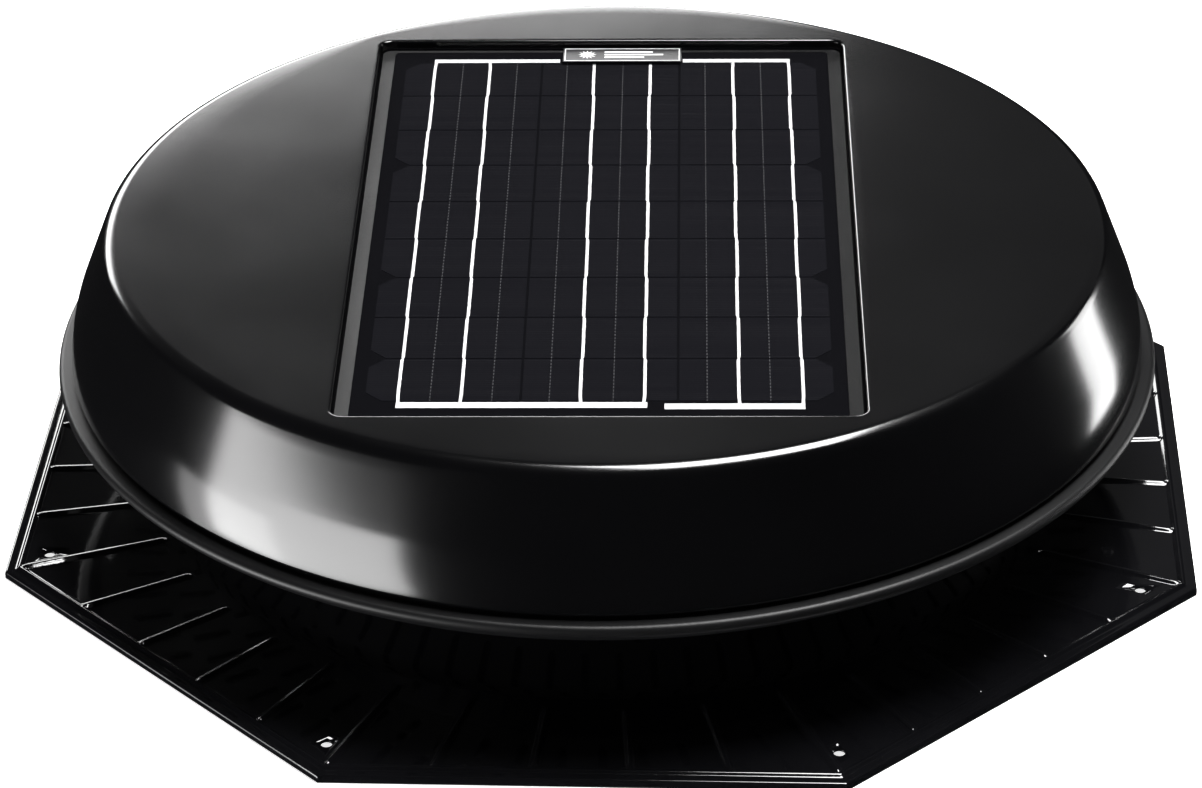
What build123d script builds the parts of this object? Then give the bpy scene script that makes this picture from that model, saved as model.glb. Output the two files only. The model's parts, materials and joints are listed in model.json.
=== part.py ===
from build123d import *
import os
from math import cos, degrees, hypot, pi, radians, sin, tan

os.makedirs("parts", exist_ok=True)

# ------------------------------------------------------------------ driving dimensions, mm and degrees
# Flashing: an octagonal pressed sheet, flats facing +-X and +-Y
FLASHING_FLATS = 635.0
APOTHEM = FLASHING_FLATS / 2
SHEET = 1.2
PLATE_TOP = 4.5
HEM_RETURN = 12.0
BEAD_INSET = 7.5
BEAD_WIDTH = 4.4
BEAD_HEIGHT = 1.3
RIB_PITCH = 9.0
RIB_START_R = 251.0
RIB_WIDTH = 6.0
RIB_HEIGHT = 1.6
RIB_TAPER = 35.0
ROOF_HOLE_R = 3.0
ROOF_HOLE_CIRCLE_R = 317.0
ROOF_HOLE_ANGLES = (-69.0, -24.1, 23.8, 65.0)  # from the front, +X side positive

# Neck: pressed up out of the flashing, with a flange at its top
NECK_R = 184.0
NECK_FOOT_R = 250.0
NECK_TOP = 92.0
NECK_FLANGE_R = 206.0

# Head: everything that stands on the neck, clocked a little against the flashing
HEAD_TURN = 1.5

# Hood
HOOD_TOP = 155.6
HOOD_SHEET = 1.5
HOOD_SHOULDER_R = 269.5
HOOD_RIM_R = 291.3
HOOD_RIM_Z = 83.0
HOOD_FLANGE_R = 270.0
RECESS = (268.8, 434.6)
RECESS_EDGE_BREAK = 0.7
RECESS_CORNER = 7.0
RECESS_REVEAL = 3.5  # hood top down to the glass

# Panel laminate, from the bottom up
LAMINATE_GAP = 1.6
LAMINATE_CORNER = 5.0
ADHESIVE_WIDTH = 12.0
ADHESIVE = 1.0
BACKSHEET = 0.5
CELL = 0.25
CONDUCTOR = 0.2
SEAL = 0.5
GLASS = 2.0
CELL_ROWS = 9
CELL_PITCH = 43.7
CELL_GAP = 0.9
CELL_WIDTH = 78.0
COLUMN_PITCH = 79.4
CELL_FIELD_Y = 3.2  # centre of the cell field in the recess
CELL_CHAMFER = 8.5
WAFER_GROUPS = ((0, 2), (3, 5), (6, 7), (8, 8))  # first and last row cut from one wafer
RIBBON_WIDTH = 1.8
RIBBON_XS = (-101.5, -70.0, -9.4, 22.7, 70.7, 102.8)
MIDDLE_RIBBON_TOP = 198.0  # the middle column's ribbons stop short of the label
TOP_BUS_WIDTH = 4.2
TOP_BUS_Y = 202.2
TOP_BUS_ENDS = (-29.6, 41.7)
BOTTOM_BUS_WIDTH = 5.6
BOTTOM_BUS_YS = (-197.3, -198.7)  # left and right bars
BOTTOM_BUS_ENDS = (24.3, 33.0)
LABEL = (68.6, 17.9)
LABEL_AT = (6.5, 205.5)
LABEL_SHEET = 0.2

# Lower ring, gasket and screen
RING_TOP = 81.7
RING_OUTER_R = 299.3
RING_FLANGE_R = 268.0
RING_RETURN_R = 276.0
RING_SHOULDER_Z = 77.0
RING_BEND_R = 291.5
RING_BOTTOM = 70.0
GASKET_R = (273.0, 288.0)
SCREEN_OUTER_R = 286.0
SCREEN_COLLAR_TOP = 78.0
SCREEN_SLOT = (22.0, 5.0)
SCREEN_ROWS = ((206.0, 60), (233.0, 66), (260.0, 72))  # radius and count of the slots

# Spokes: four strips, each carrying the hood's edge at one end and the motor plate at the other
SPOKE_ANGLES = (45.0, 135.0, 225.0, 315.0)
SPOKE_WIDTH = 26.0
SPOKE_SHEET = 2.5
NECK_RIVET_R = 197.0
HOOD_SCREW_R = 277.0
PLATE_SCREW_R = 50.0
SCREW_SPREAD = 7.0
MOTOR_PLATE_R = 60.0
MOTOR_PLATE_Z = 73.0
MOTOR_PLATE_SHEET = 3.0
ISOLATOR_R = 33.0
ISOLATOR_HEIGHT = 4.0

# Motor
MOTOR_R = 46.0
CAN_WALL = 2.0
BELL_Z = MOTOR_PLATE_Z + MOTOR_PLATE_SHEET + ISOLATOR_HEIGHT
BELL_SHEET = 4.0
CAN_TOP = 130.0
SHAFT_R = 4.0
SHAFT_BOTTOM = 32.5
STATOR_Z = (95.0, 115.0)
STATOR_R = (23.0, 43.8)
TEETH = 9
POLES = 8
ROTOR_R = 18.0
MAGNET_R = 21.5
BOARD_Z = 120.0

# Deep-groove bearing, 22 outside, 8 bore, 7 wide
BEARING_R = 11.0
BEARING_WIDTH = 7.0
BALL_R = 1.9
BALL_CIRCLE_R = 7.5
BALL_COUNT = 7
GROOVE_R = 2.0
OUTER_RACE_R = 9.1
INNER_RACE_R = 5.9
CAGE_R = (7.0, 8.0)
CAGE_WIDTH = 5.2
CAGE_PLAY = 0.06
LOWER_BEARING_Z = 85.0
UPPER_BEARING_Z = 122.5

# Fan
BLADE_COUNT = 5
BLADE_TIP_R = 178.0
BLADE_ROOT_R = 56.0
BLADE_SHEET = 1.5
BLADE_CHORD = 98.0
BLADE_CAMBER = 8.0
BLADE_PITCH = 20.0
BLADE_Z = 52.8
SPIDER_SHEET = 2.0
SPIDER_Z = 50.0
SPIDER_R = 46.0
TAB_WIDTH = 34.0
TAB_REACH_R = 94.0
RIVET_R = 2.4
RIVET_RADII = (66.0, 77.0, 88.0)
HUB_R = 15.0
HUB_FLANGE_R = 28.0

# Junction box and lead
BOX = (80.0, 56.0)
BOX_CORNER = 5.0
BOX_AT = (0.0, 125.0)
BOX_BOTTOM = 126.4
BOX_WALL = 2.5
LID_SHEET = 2.2
LEAD_R = 3.0
LEAD_BORE_R = 3.2
LEAD_Z = 133.0
MOTOR_ENTRY_Z = 123.5
MOTOR_ENTRY_ANGLE = 215.0
CONNECTOR_R = 8.0
CLIP_YS = (64.0, 3.0)

# ------------------------------------------------------------------ heights that follow
GLASS_TOP = HOOD_TOP - RECESS_REVEAL
CELLS_Z = GLASS_TOP - GLASS - SEAL
BACKSHEET_Z = CELLS_Z - BACKSHEET
RECESS_FLOOR = BACKSHEET_Z - ADHESIVE
FLOOR_UNDERSIDE = RECESS_FLOOR - HOOD_SHEET
HOOD_FLANGE_TOP = HOOD_RIM_Z + HOOD_SHEET
SCREEN_Z = RING_BOTTOM - SHEET
CAN_Z = BELL_Z + BELL_SHEET
LAMINATE = (RECESS[0] - 2 * LAMINATE_GAP, RECESS[1] - 2 * LAMINATE_GAP)

head = Plane.XY.rotated((0, 0, HEAD_TURN))


# ------------------------------------------------------------------ shared shapes
def octagon(apothem, mode=Mode.ADD):
    """Adds an octagon with flats facing the axes to the open sketch."""
    RegularPolygon(apothem, 8, major_radius=False, rotation=22.5, mode=mode)


def sheet_strip(points, radii, thickness):
    """Adds bent sheet seen edge on to the open sketch, from its centreline and bend radii."""
    with BuildLine() as centreline:
        FilletPolyline(*points, radius=radii)
    trace(centreline.line, thickness)


def radial_plane(angle):
    """The upright plane through the axis at an angle of the head: local x outwards, local y up."""
    turn = radians(angle + HEAD_TURN)
    return Plane(origin=(0, 0, 0), x_dir=(cos(turn), sin(turn), 0), z_dir=(sin(turn), -cos(turn), 0))


def spoke_points(radius):
    """Two points side by side on every spoke, in the head's frame."""
    points = []
    for angle in SPOKE_ANGLES:
        for side in (-SCREW_SPREAD, SCREW_SPREAD):
            along = radians(angle)
            points.append((radius * cos(along) - side * sin(along), radius * sin(along) + side * cos(along)))
    return points


def rib_slots(width, trim):
    """Adds the plan of all the radial ribs, from the neck's foot out to the edge bead."""
    for flat in range(8):
        for step in range(5):
            offset = RIB_PITCH * (step + 0.5)
            from_flat = min(offset, 45 - offset)
            end = (APOTHEM - BEAD_INSET) / cos(radians(from_flat)) - trim
            middle = (RIB_START_R + trim + end) / 2
            angle = 45 * flat + offset
            with Locations((middle * cos(radians(angle)), middle * sin(radians(angle)))):
                SlotOverall(end - RIB_START_R - trim, width, rotation=angle)


def roof_hole_points():
    """Centres of the eight roof screw holes: the four at the front, and the same turned half round."""
    points = []
    for turn in (0, 180):
        for angle in ROOF_HOLE_ANGLES:
            around = radians(angle - 90 + turn)
            points.append((ROOF_HOLE_CIRCLE_R * cos(around), ROOF_HOLE_CIRCLE_R * sin(around)))
    return points


# ------------------------------------------------------------------ flashing
with BuildPart() as flashing:
    with BuildSketch(Plane.XY.offset(PLATE_TOP - SHEET)):
        octagon(APOTHEM)
        Circle(NECK_FOOT_R, mode=Mode.SUBTRACT)
    extrude(amount=SHEET)
    with BuildSketch(Plane.XY):
        octagon(APOTHEM)
        octagon(APOTHEM - SHEET, mode=Mode.SUBTRACT)
    extrude(amount=PLATE_TOP)
    with BuildSketch(Plane.XY):
        octagon(APOTHEM)
        octagon(APOTHEM - HEM_RETURN, mode=Mode.SUBTRACT)
    extrude(amount=SHEET)
    with BuildSketch(Plane.XZ):
        sheet_strip(
            [
                (NECK_FOOT_R + 0.5, PLATE_TOP - SHEET / 2),
                (NECK_FOOT_R - 8, PLATE_TOP - SHEET / 2),
                (NECK_R + SHEET / 2, 36),
                (NECK_R + SHEET / 2, NECK_TOP - SHEET / 2),
                (NECK_FLANGE_R, NECK_TOP - SHEET / 2),
            ],
            [24, 16, 6],
            SHEET,
        )
    revolve(axis=Axis.Z)
    with BuildSketch(Plane.XY.offset(PLATE_TOP)):
        rib_slots(RIB_WIDTH, 0)
    extrude(amount=RIB_HEIGHT, taper=RIB_TAPER)
    with BuildSketch(Plane.XY.offset(PLATE_TOP)):
        octagon(APOTHEM - BEAD_INSET + BEAD_WIDTH / 2)
        octagon(APOTHEM - BEAD_INSET - BEAD_WIDTH / 2, mode=Mode.SUBTRACT)
    extrude(amount=BEAD_HEIGHT, taper=RIB_TAPER)
    with BuildSketch(Plane.XY.offset(PLATE_TOP - SHEET)):
        rib_slots(RIB_WIDTH - 2 * SHEET * tan(radians(RIB_TAPER)), SHEET)
    extrude(amount=RIB_HEIGHT, taper=RIB_TAPER, mode=Mode.SUBTRACT)
    with BuildSketch(Plane.XY):
        with Locations(*roof_hole_points()):
            Circle(ROOF_HOLE_R)
    extrude(amount=PLATE_TOP + RIB_HEIGHT, mode=Mode.SUBTRACT)
    with BuildSketch(head.offset(NECK_TOP)):
        with Locations(*spoke_points(NECK_RIVET_R)):
            Circle(2.5)
    extrude(amount=-2 * SHEET, mode=Mode.SUBTRACT)
flashing.part.label = "flashing"
export_step(flashing.part, "parts/flashing.step")

# ------------------------------------------------------------------ hood
with BuildPart() as hood:
    with BuildSketch(Plane.XZ):
        sheet_strip(
            [
                (0, HOOD_TOP - HOOD_SHEET / 2),
                (HOOD_SHOULDER_R, HOOD_TOP - HOOD_SHEET / 2),
                (289.6, 103.5),
                (HOOD_RIM_R, HOOD_RIM_Z + HOOD_SHEET / 2),
                (HOOD_FLANGE_R, HOOD_RIM_Z + HOOD_SHEET / 2),
            ],
            [8.5, 100, 2.2],
            HOOD_SHEET,
        )
    revolve(axis=Axis.Z)
    with BuildSketch(head.offset(FLOOR_UNDERSIDE)):
        RectangleRounded(RECESS[0] + 2 * HOOD_SHEET, RECESS[1] + 2 * HOOD_SHEET, RECESS_CORNER + HOOD_SHEET)
    extrude(amount=HOOD_TOP - HOOD_SHEET - FLOOR_UNDERSIDE)
    with BuildSketch(head.offset(RECESS_FLOOR)):
        RectangleRounded(*RECESS, RECESS_CORNER)
    extrude(amount=HOOD_TOP - RECESS_FLOOR, mode=Mode.SUBTRACT)
    chamfer(
        hood.edges().group_by(Axis.Z)[-1].filter_by(lambda edge: edge.length < RECESS[1] + 1),
        RECESS_EDGE_BREAK,
    )
    with BuildSketch(head.offset(FLOOR_UNDERSIDE)):
        with Locations((BOX_AT[0], BOX_AT[1] + 8)):
            RectangleRounded(40, 20, 3)
    extrude(amount=2 * HOOD_SHEET, mode=Mode.SUBTRACT)
    with BuildSketch(head.offset(HOOD_RIM_Z)):
        with Locations(*spoke_points(HOOD_SCREW_R)):
            Circle(2.1)
    extrude(amount=2 * HOOD_SHEET, mode=Mode.SUBTRACT)
hood.part.label = "hood"
export_step(hood.part, "parts/hood.step")

# ------------------------------------------------------------------ lower ring, gasket, screen
with BuildPart() as lower_ring:
    with BuildSketch(Plane.XZ):
        sheet_strip(
            [
                (RING_FLANGE_R, RING_TOP - SHEET / 2),
                (RING_OUTER_R - SHEET / 2, RING_TOP - SHEET / 2),
                (RING_OUTER_R - SHEET / 2, RING_SHOULDER_Z),
                (RING_BEND_R, RING_BOTTOM + SHEET / 2),
                (RING_RETURN_R, RING_BOTTOM + SHEET / 2),
            ],
            [2.5, 3.5, 5],
            SHEET,
        )
    revolve(axis=Axis.Z)
    with BuildSketch(head.offset(RING_TOP)):
        with Locations(*spoke_points(HOOD_SCREW_R)):
            Circle(2.1)
    extrude(amount=-2 * SHEET, mode=Mode.SUBTRACT)
    with BuildSketch(head.offset(RING_BOTTOM)):
        with PolarLocations(281, 12):
            Circle(1.7)
    extrude(amount=SHEET, mode=Mode.SUBTRACT)
lower_ring.part.label = "lower_ring"
export_step(lower_ring.part, "parts/lower_ring.step")

with BuildPart() as hood_gasket:
    with BuildSketch(head.offset(RING_TOP)):
        Circle(GASKET_R[1])
        Circle(GASKET_R[0], mode=Mode.SUBTRACT)
        with Locations(*spoke_points(HOOD_SCREW_R)):
            Circle(2.1, mode=Mode.SUBTRACT)
    extrude(amount=HOOD_RIM_Z - RING_TOP)
hood_gasket.part.label = "hood_gasket"
export_step(hood_gasket.part, "parts/hood_gasket.step")

with BuildPart() as outlet_screen:
    with BuildSketch(head.offset(SCREEN_Z)):
        Circle(SCREEN_OUTER_R)
        Circle(NECK_R + SHEET + 0.2, mode=Mode.SUBTRACT)
        for row_radius, slots in SCREEN_ROWS:
            with PolarLocations(row_radius, slots):
                SlotOverall(*SCREEN_SLOT, mode=Mode.SUBTRACT)
        with PolarLocations(281, 12):
            Circle(1.7, mode=Mode.SUBTRACT)
    extrude(amount=SHEET)
    with BuildSketch(head.offset(SCREEN_Z)):
        Circle(NECK_R + 2 * SHEET + 0.2)
        Circle(NECK_R + SHEET + 0.2, mode=Mode.SUBTRACT)
    extrude(amount=SCREEN_COLLAR_TOP - SCREEN_Z)
outlet_screen.part.label = "outlet_screen"
export_step(outlet_screen.part, "parts/outlet_screen.step")

with BuildPart() as screen_rivets:
    with BuildSketch(head.offset(SCREEN_Z)):
        with PolarLocations(281, 12):
            Circle(1.7)
    extrude(amount=2 * SHEET)
    with BuildSketch(head.offset(SCREEN_Z)):
        with PolarLocations(281, 12):
            Circle(3.2)
    extrude(amount=-1.0, taper=20)
    with BuildSketch(head.offset(SCREEN_Z + 2 * SHEET)):
        with PolarLocations(281, 12):
            Circle(3.0)
    extrude(amount=1.0, taper=20)
screen_rivets.part.label = "screen_rivets"
export_step(screen_rivets.part, "parts/screen_rivets.step")

# ------------------------------------------------------------------ spokes: neck flange to hood edge and to motor
for number, angle in enumerate(SPOKE_ANGLES, start=1):
    with BuildPart() as spoke:
        with BuildSketch(radial_plane(angle)):
            sheet_strip(
                [
                    (286.5, HOOD_FLANGE_TOP + SPOKE_SHEET / 2),
                    (262, HOOD_FLANGE_TOP + SPOKE_SHEET / 2),
                    (254, NECK_TOP + SPOKE_SHEET / 2),
                    (186, NECK_TOP + SPOKE_SHEET / 2),
                    (68, MOTOR_PLATE_Z - SPOKE_SHEET / 2),
                    (38, MOTOR_PLATE_Z - SPOKE_SHEET / 2),
                ],
                [4, 4, 8, 8],
                SPOKE_SHEET,
            )
        extrude(amount=SPOKE_WIDTH / 2, both=True)
        with BuildSketch(head):
            with Locations(*spoke_points(NECK_RIVET_R)):
                Circle(2.5)
            with Locations(*spoke_points(HOOD_SCREW_R), *spoke_points(PLATE_SCREW_R)):
                Circle(2.05)
        extrude(amount=HOOD_TOP, mode=Mode.SUBTRACT)
    spoke.part.label = f"spoke_{number}"
    export_step(spoke.part, f"parts/spoke_{number}.step")

with BuildPart() as neck_rivets:
    with BuildSketch(head.offset(NECK_TOP - SHEET)):
        with Locations(*spoke_points(NECK_RIVET_R)):
            Circle(2.5)
    extrude(amount=SHEET + SPOKE_SHEET)
    with BuildSketch(head.offset(NECK_TOP + SPOKE_SHEET)):
        with Locations(*spoke_points(NECK_RIVET_R)):
            Circle(4.8)
    extrude(amount=2.0, taper=25)
    with BuildSketch(head.offset(NECK_TOP - SHEET)):
        with Locations(*spoke_points(NECK_RIVET_R)):
            Circle(4.2)
    extrude(amount=-1.5, taper=20)
neck_rivets.part.label = "neck_rivets"
export_step(neck_rivets.part, "parts/neck_rivets.step")

with BuildPart() as hood_screws:
    with BuildSketch(head.offset(RING_TOP - SHEET)):
        with Locations(*spoke_points(HOOD_SCREW_R)):
            Circle(2.0)
    extrude(amount=HOOD_FLANGE_TOP + SPOKE_SHEET + 4 - RING_TOP + SHEET)
    with BuildSketch(head.offset(RING_TOP - SHEET)):
        with Locations(*spoke_points(HOOD_SCREW_R)):
            Circle(3.8)
    extrude(amount=-2.4, taper=15)
hood_screws.part.label = "hood_screws"
export_step(hood_screws.part, "parts/hood_screws.step")

# ------------------------------------------------------------------ motor plate, isolators and their screws
with BuildPart() as motor_plate:
    with BuildSketch(head.offset(MOTOR_PLATE_Z)):
        Circle(MOTOR_PLATE_R)
        Circle(14, mode=Mode.SUBTRACT)
        with Locations(*spoke_points(PLATE_SCREW_R)):
            Circle(2.1, mode=Mode.SUBTRACT)
        with PolarLocations(ISOLATOR_R, 4):
            Circle(4.0, mode=Mode.SUBTRACT)
    extrude(amount=MOTOR_PLATE_SHEET)
motor_plate.part.label = "motor_plate"
export_step(motor_plate.part, "parts/motor_plate.step")

with BuildPart() as plate_screws:
    with BuildSketch(head.offset(MOTOR_PLATE_Z - SPOKE_SHEET)):
        with Locations(*spoke_points(PLATE_SCREW_R)):
            Circle(2.0)
    extrude(amount=SPOKE_SHEET + MOTOR_PLATE_SHEET)
    with BuildSketch(head.offset(MOTOR_PLATE_Z + MOTOR_PLATE_SHEET)):
        with Locations(*spoke_points(PLATE_SCREW_R)):
            Circle(3.6)
    extrude(amount=2.4, taper=15)
    with BuildSketch(head.offset(MOTOR_PLATE_Z - SPOKE_SHEET)):
        with Locations(*spoke_points(PLATE_SCREW_R)):
            Circle(3.0)
    extrude(amount=-1.2, taper=20)
plate_screws.part.label = "plate_screws"
export_step(plate_screws.part, "parts/plate_screws.step")

with BuildPart() as isolators:
    with BuildSketch(head.offset(MOTOR_PLATE_Z + MOTOR_PLATE_SHEET)):
        with PolarLocations(ISOLATOR_R, 4):
            Circle(7.5)
    extrude(amount=ISOLATOR_HEIGHT)
    with BuildSketch(head.offset(MOTOR_PLATE_Z)):
        with PolarLocations(ISOLATOR_R, 4):
            Circle(4.0)
    extrude(amount=MOTOR_PLATE_SHEET)
    with BuildSketch(head.offset(MOTOR_PLATE_Z)):
        with PolarLocations(ISOLATOR_R, 4):
            Circle(6.5)
    extrude(amount=-2.0)
    with BuildSketch(head.offset(MOTOR_PLATE_Z - 2.0)):
        with PolarLocations(ISOLATOR_R, 4):
            Circle(2.0)
    extrude(amount=ISOLATOR_HEIGHT + MOTOR_PLATE_SHEET + 2.0, mode=Mode.SUBTRACT)
isolators.part.label = "isolators"
export_step(isolators.part, "parts/isolators.step")

with BuildPart() as motor_screws:
    with BuildSketch(head.offset(MOTOR_PLATE_Z - 2.0)):
        with PolarLocations(ISOLATOR_R, 4):
            Circle(2.0)
    extrude(amount=BELL_Z + BELL_SHEET - MOTOR_PLATE_Z + 2.0)
    with BuildSketch(head.offset(MOTOR_PLATE_Z - 2.0)):
        with PolarLocations(ISOLATOR_R, 4):
            Circle(4.2)
    extrude(amount=-1.8, taper=15)
motor_screws.part.label = "motor_screws"
export_step(motor_screws.part, "parts/motor_screws.step")

# ------------------------------------------------------------------ motor housing
with BuildPart() as lower_bell:
    with BuildSketch(head.offset(BELL_Z)):
        Circle(MOTOR_R)
        Circle(5.5, mode=Mode.SUBTRACT)
        with PolarLocations(ISOLATOR_R, 4):
            Circle(2.0, mode=Mode.SUBTRACT)
    extrude(amount=BELL_SHEET)
    with BuildSketch(head.offset(CAN_Z)):
        Circle(MOTOR_R - CAN_WALL - 0.05)
        Circle(MOTOR_R - CAN_WALL - 4, mode=Mode.SUBTRACT)
    extrude(amount=4)
    with BuildSketch(head.offset(CAN_Z)):
        Circle(BEARING_R + 4)
        Circle(5.5, mode=Mode.SUBTRACT)
    extrude(amount=LOWER_BEARING_Z + BEARING_WIDTH - CAN_Z)
    with BuildSketch(head.offset(LOWER_BEARING_Z)):
        Circle(BEARING_R)
    extrude(amount=BEARING_WIDTH, mode=Mode.SUBTRACT)
lower_bell.part.label = "lower_motor_bell"
export_step(lower_bell.part, "parts/lower_motor_bell.step")

with BuildPart() as upper_bell:
    with BuildSketch(head.offset(CAN_TOP)):
        Circle(MOTOR_R)
    extrude(amount=BELL_SHEET)
    fillet(upper_bell.edges().group_by(Axis.Z)[-1], 2.0)
    with BuildSketch(head.offset(CAN_TOP)):
        Circle(MOTOR_R - CAN_WALL - 0.05)
        Circle(MOTOR_R - CAN_WALL - 4, mode=Mode.SUBTRACT)
    extrude(amount=-2)
    with BuildSketch(head.offset(CAN_TOP)):
        Circle(BEARING_R + 4)
    extrude(amount=UPPER_BEARING_Z - CAN_TOP)
    with BuildSketch(head.offset(UPPER_BEARING_Z)):
        Circle(BEARING_R)
    extrude(amount=BEARING_WIDTH, mode=Mode.SUBTRACT)
upper_bell.part.label = "upper_motor_bell"
export_step(upper_bell.part, "parts/upper_motor_bell.step")

with BuildPart() as motor_can:
    with BuildSketch(head.offset(CAN_Z)):
        Circle(MOTOR_R)
        Circle(MOTOR_R - CAN_WALL, mode=Mode.SUBTRACT)
    extrude(amount=CAN_TOP - CAN_Z)
    entry_plane = Plane(
        origin=radial_plane(MOTOR_ENTRY_ANGLE).from_local_coords((MOTOR_R - 6, MOTOR_ENTRY_Z, 0)),
        z_dir=radial_plane(MOTOR_ENTRY_ANGLE).x_dir,
    )
    with BuildSketch(entry_plane):
        Circle(4.3)
    extrude(amount=10, mode=Mode.SUBTRACT)
motor_can.part.label = "motor_can"
export_step(motor_can.part, "parts/motor_can.step")

with BuildPart() as motor_grommet:
    with BuildSketch(entry_plane.offset(4.0)):
        Circle(4.2)
    extrude(amount=2.4)
    with BuildSketch(entry_plane.offset(6.4)):
        Circle(5.4)
    extrude(amount=2.0, taper=12)
    with BuildSketch(entry_plane):
        Circle(LEAD_BORE_R)
    extrude(amount=12, mode=Mode.SUBTRACT)
motor_grommet.part.label = "motor_grommet"
export_step(motor_grommet.part, "parts/motor_grommet.step")

# ------------------------------------------------------------------ stator and driver board
with BuildPart() as stator_core:
    with BuildSketch(head.offset(STATOR_Z[0])):
        Circle(STATOR_R[1])
        Circle(37, mode=Mode.SUBTRACT)
        with PolarLocations(31, TEETH):
            Rectangle(13, 7)
        Circle(26)
        Circle(STATOR_R[0], mode=Mode.SUBTRACT)
        with PolarLocations(25, TEETH, start_angle=180 / TEETH):
            Rectangle(10, 3, mode=Mode.SUBTRACT)
    extrude(amount=STATOR_Z[1] - STATOR_Z[0])
stator_core.part.label = "stator_core"
export_step(stator_core.part, "parts/stator_core.step")

with BuildPart() as stator_coils:
    for tooth in range(TEETH):
        wall = radial_plane(360 * tooth / TEETH)
        with BuildSketch(Plane(origin=wall.from_local_coords((27.5, 0, 0)), x_dir=-wall.z_dir, z_dir=wall.x_dir)):
            with Locations((0, sum(STATOR_Z) / 2)):
                RectangleRounded(13.4, STATOR_Z[1] - STATOR_Z[0] + 7, 3)
                Rectangle(7.3, STATOR_Z[1] - STATOR_Z[0] + 0.3, mode=Mode.SUBTRACT)
        extrude(amount=8)
stator_coils.part.label = "stator_coils"
export_step(stator_coils.part, "parts/stator_coils.step")

with BuildPart() as driver_board:
    with BuildSketch(head.offset(BOARD_Z)):
        Circle(39.5)
        Circle(19, mode=Mode.SUBTRACT)
    extrude(amount=1.6)
driver_board.part.label = "driver_board"
export_step(driver_board.part, "parts/driver_board.step")

# ------------------------------------------------------------------ bearings
for where, bottom in (("lower", LOWER_BEARING_Z), ("upper", UPPER_BEARING_Z)):
    centre = bottom + BEARING_WIDTH / 2
    with BuildPart() as outer_race:
        with BuildSketch(head.offset(bottom)):
            Circle(BEARING_R)
            Circle(OUTER_RACE_R, mode=Mode.SUBTRACT)
        extrude(amount=BEARING_WIDTH)
        with BuildSketch(Plane.XZ):
            with Locations((BALL_CIRCLE_R, centre)):
                Circle(GROOVE_R)
        revolve(axis=Axis.Z, mode=Mode.SUBTRACT)
    outer_race.part.label = f"{where}_outer_race"
    export_step(outer_race.part, f"parts/{where}_outer_race.step")

    with BuildPart() as inner_race:
        with BuildSketch(head.offset(bottom)):
            Circle(INNER_RACE_R)
            Circle(SHAFT_R, mode=Mode.SUBTRACT)
        extrude(amount=BEARING_WIDTH)
        with BuildSketch(Plane.XZ):
            with Locations((BALL_CIRCLE_R, centre)):
                Circle(GROOVE_R)
        revolve(axis=Axis.Z, mode=Mode.SUBTRACT)
    inner_race.part.label = f"{where}_inner_race"
    export_step(inner_race.part, f"parts/{where}_inner_race.step")

    with BuildPart() as ball_set:
        with BuildSketch(head.offset(centre - CAGE_WIDTH / 2)):
            Circle(CAGE_R[1])
            Circle(CAGE_R[0], mode=Mode.SUBTRACT)
        extrude(amount=CAGE_WIDTH)
        for ball in range(BALL_COUNT):
            around = 2 * pi * ball / BALL_COUNT
            with BuildSketch(Plane(origin=(0, 0, centre), z_dir=(cos(around), sin(around), 0))):
                Circle(BALL_R + CAGE_PLAY)
            extrude(amount=CAGE_R[1] + 1, mode=Mode.SUBTRACT)
        with Locations((0, 0, centre)):
            with PolarLocations(BALL_CIRCLE_R, BALL_COUNT):
                Sphere(BALL_R)
    ball_set.part.label = f"{where}_ball_set"
    export_step(ball_set.part, f"parts/{where}_ball_set.step")

# ------------------------------------------------------------------ rotor
with BuildPart() as shaft:
    with BuildSketch(head.offset(SHAFT_BOTTOM)):
        Circle(SHAFT_R)
    extrude(amount=UPPER_BEARING_Z + BEARING_WIDTH - 0.3 - SHAFT_BOTTOM)
    chamfer(shaft.edges().group_by(Axis.Z)[0], 0.8)
shaft.part.label = "shaft"
export_step(shaft.part, "parts/shaft.step")

with BuildPart() as rotor_core:
    with BuildSketch(head.offset(STATOR_Z[0])):
        Circle(ROTOR_R)
        Circle(SHAFT_R, mode=Mode.SUBTRACT)
    extrude(amount=STATOR_Z[1] - STATOR_Z[0])
rotor_core.part.label = "rotor_core"
export_step(rotor_core.part, "parts/rotor_core.step")

with BuildPart() as rotor_magnets:
    with BuildSketch(head.offset(STATOR_Z[0])):
        Circle(MAGNET_R)
        Circle(ROTOR_R, mode=Mode.SUBTRACT)
        with PolarLocations(20, POLES):
            Rectangle(8, 1.2, mode=Mode.SUBTRACT)
    extrude(amount=STATOR_Z[1] - STATOR_Z[0])
rotor_magnets.part.label = "rotor_magnets"
export_step(rotor_magnets.part, "parts/rotor_magnets.step")

# ------------------------------------------------------------------ fan
camber_r = (BLADE_CHORD**2 / 4 + BLADE_CAMBER**2) / (2 * BLADE_CAMBER)
pitch = radians(BLADE_PITCH)
camber_centre = (sin(pitch) * camber_r, BLADE_Z - cos(pitch) * camber_r)
half_wrap = degrees(BLADE_CHORD / camber_r) / 2
crest_angle = 90 + BLADE_PITCH


def cambered_strip(radius, half_angle, thickness):
    """Adds the blade's curved section, or a strip that hugs it, to the open sketch."""
    with BuildLine() as camber_line:
        CenterArc(camber_centre, radius, crest_angle - half_angle, 2 * half_angle)
    trace(camber_line.line, thickness)


def rivet_plane(radius, drop):
    """The plane square to the blade at mid chord, dropped towards the hub side."""
    normal = Vector(0, -sin(pitch), cos(pitch))
    return Plane(origin=Vector(radius, 0, BLADE_Z) - normal * drop, x_dir=(1, 0, 0), z_dir=normal)


def section_plane(radius):
    """The upright plane square to the blade's span: local x along the travel, local y up."""
    return Plane(origin=(radius, 0, 0), x_dir=(0, 1, 0), z_dir=(1, 0, 0))


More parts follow.
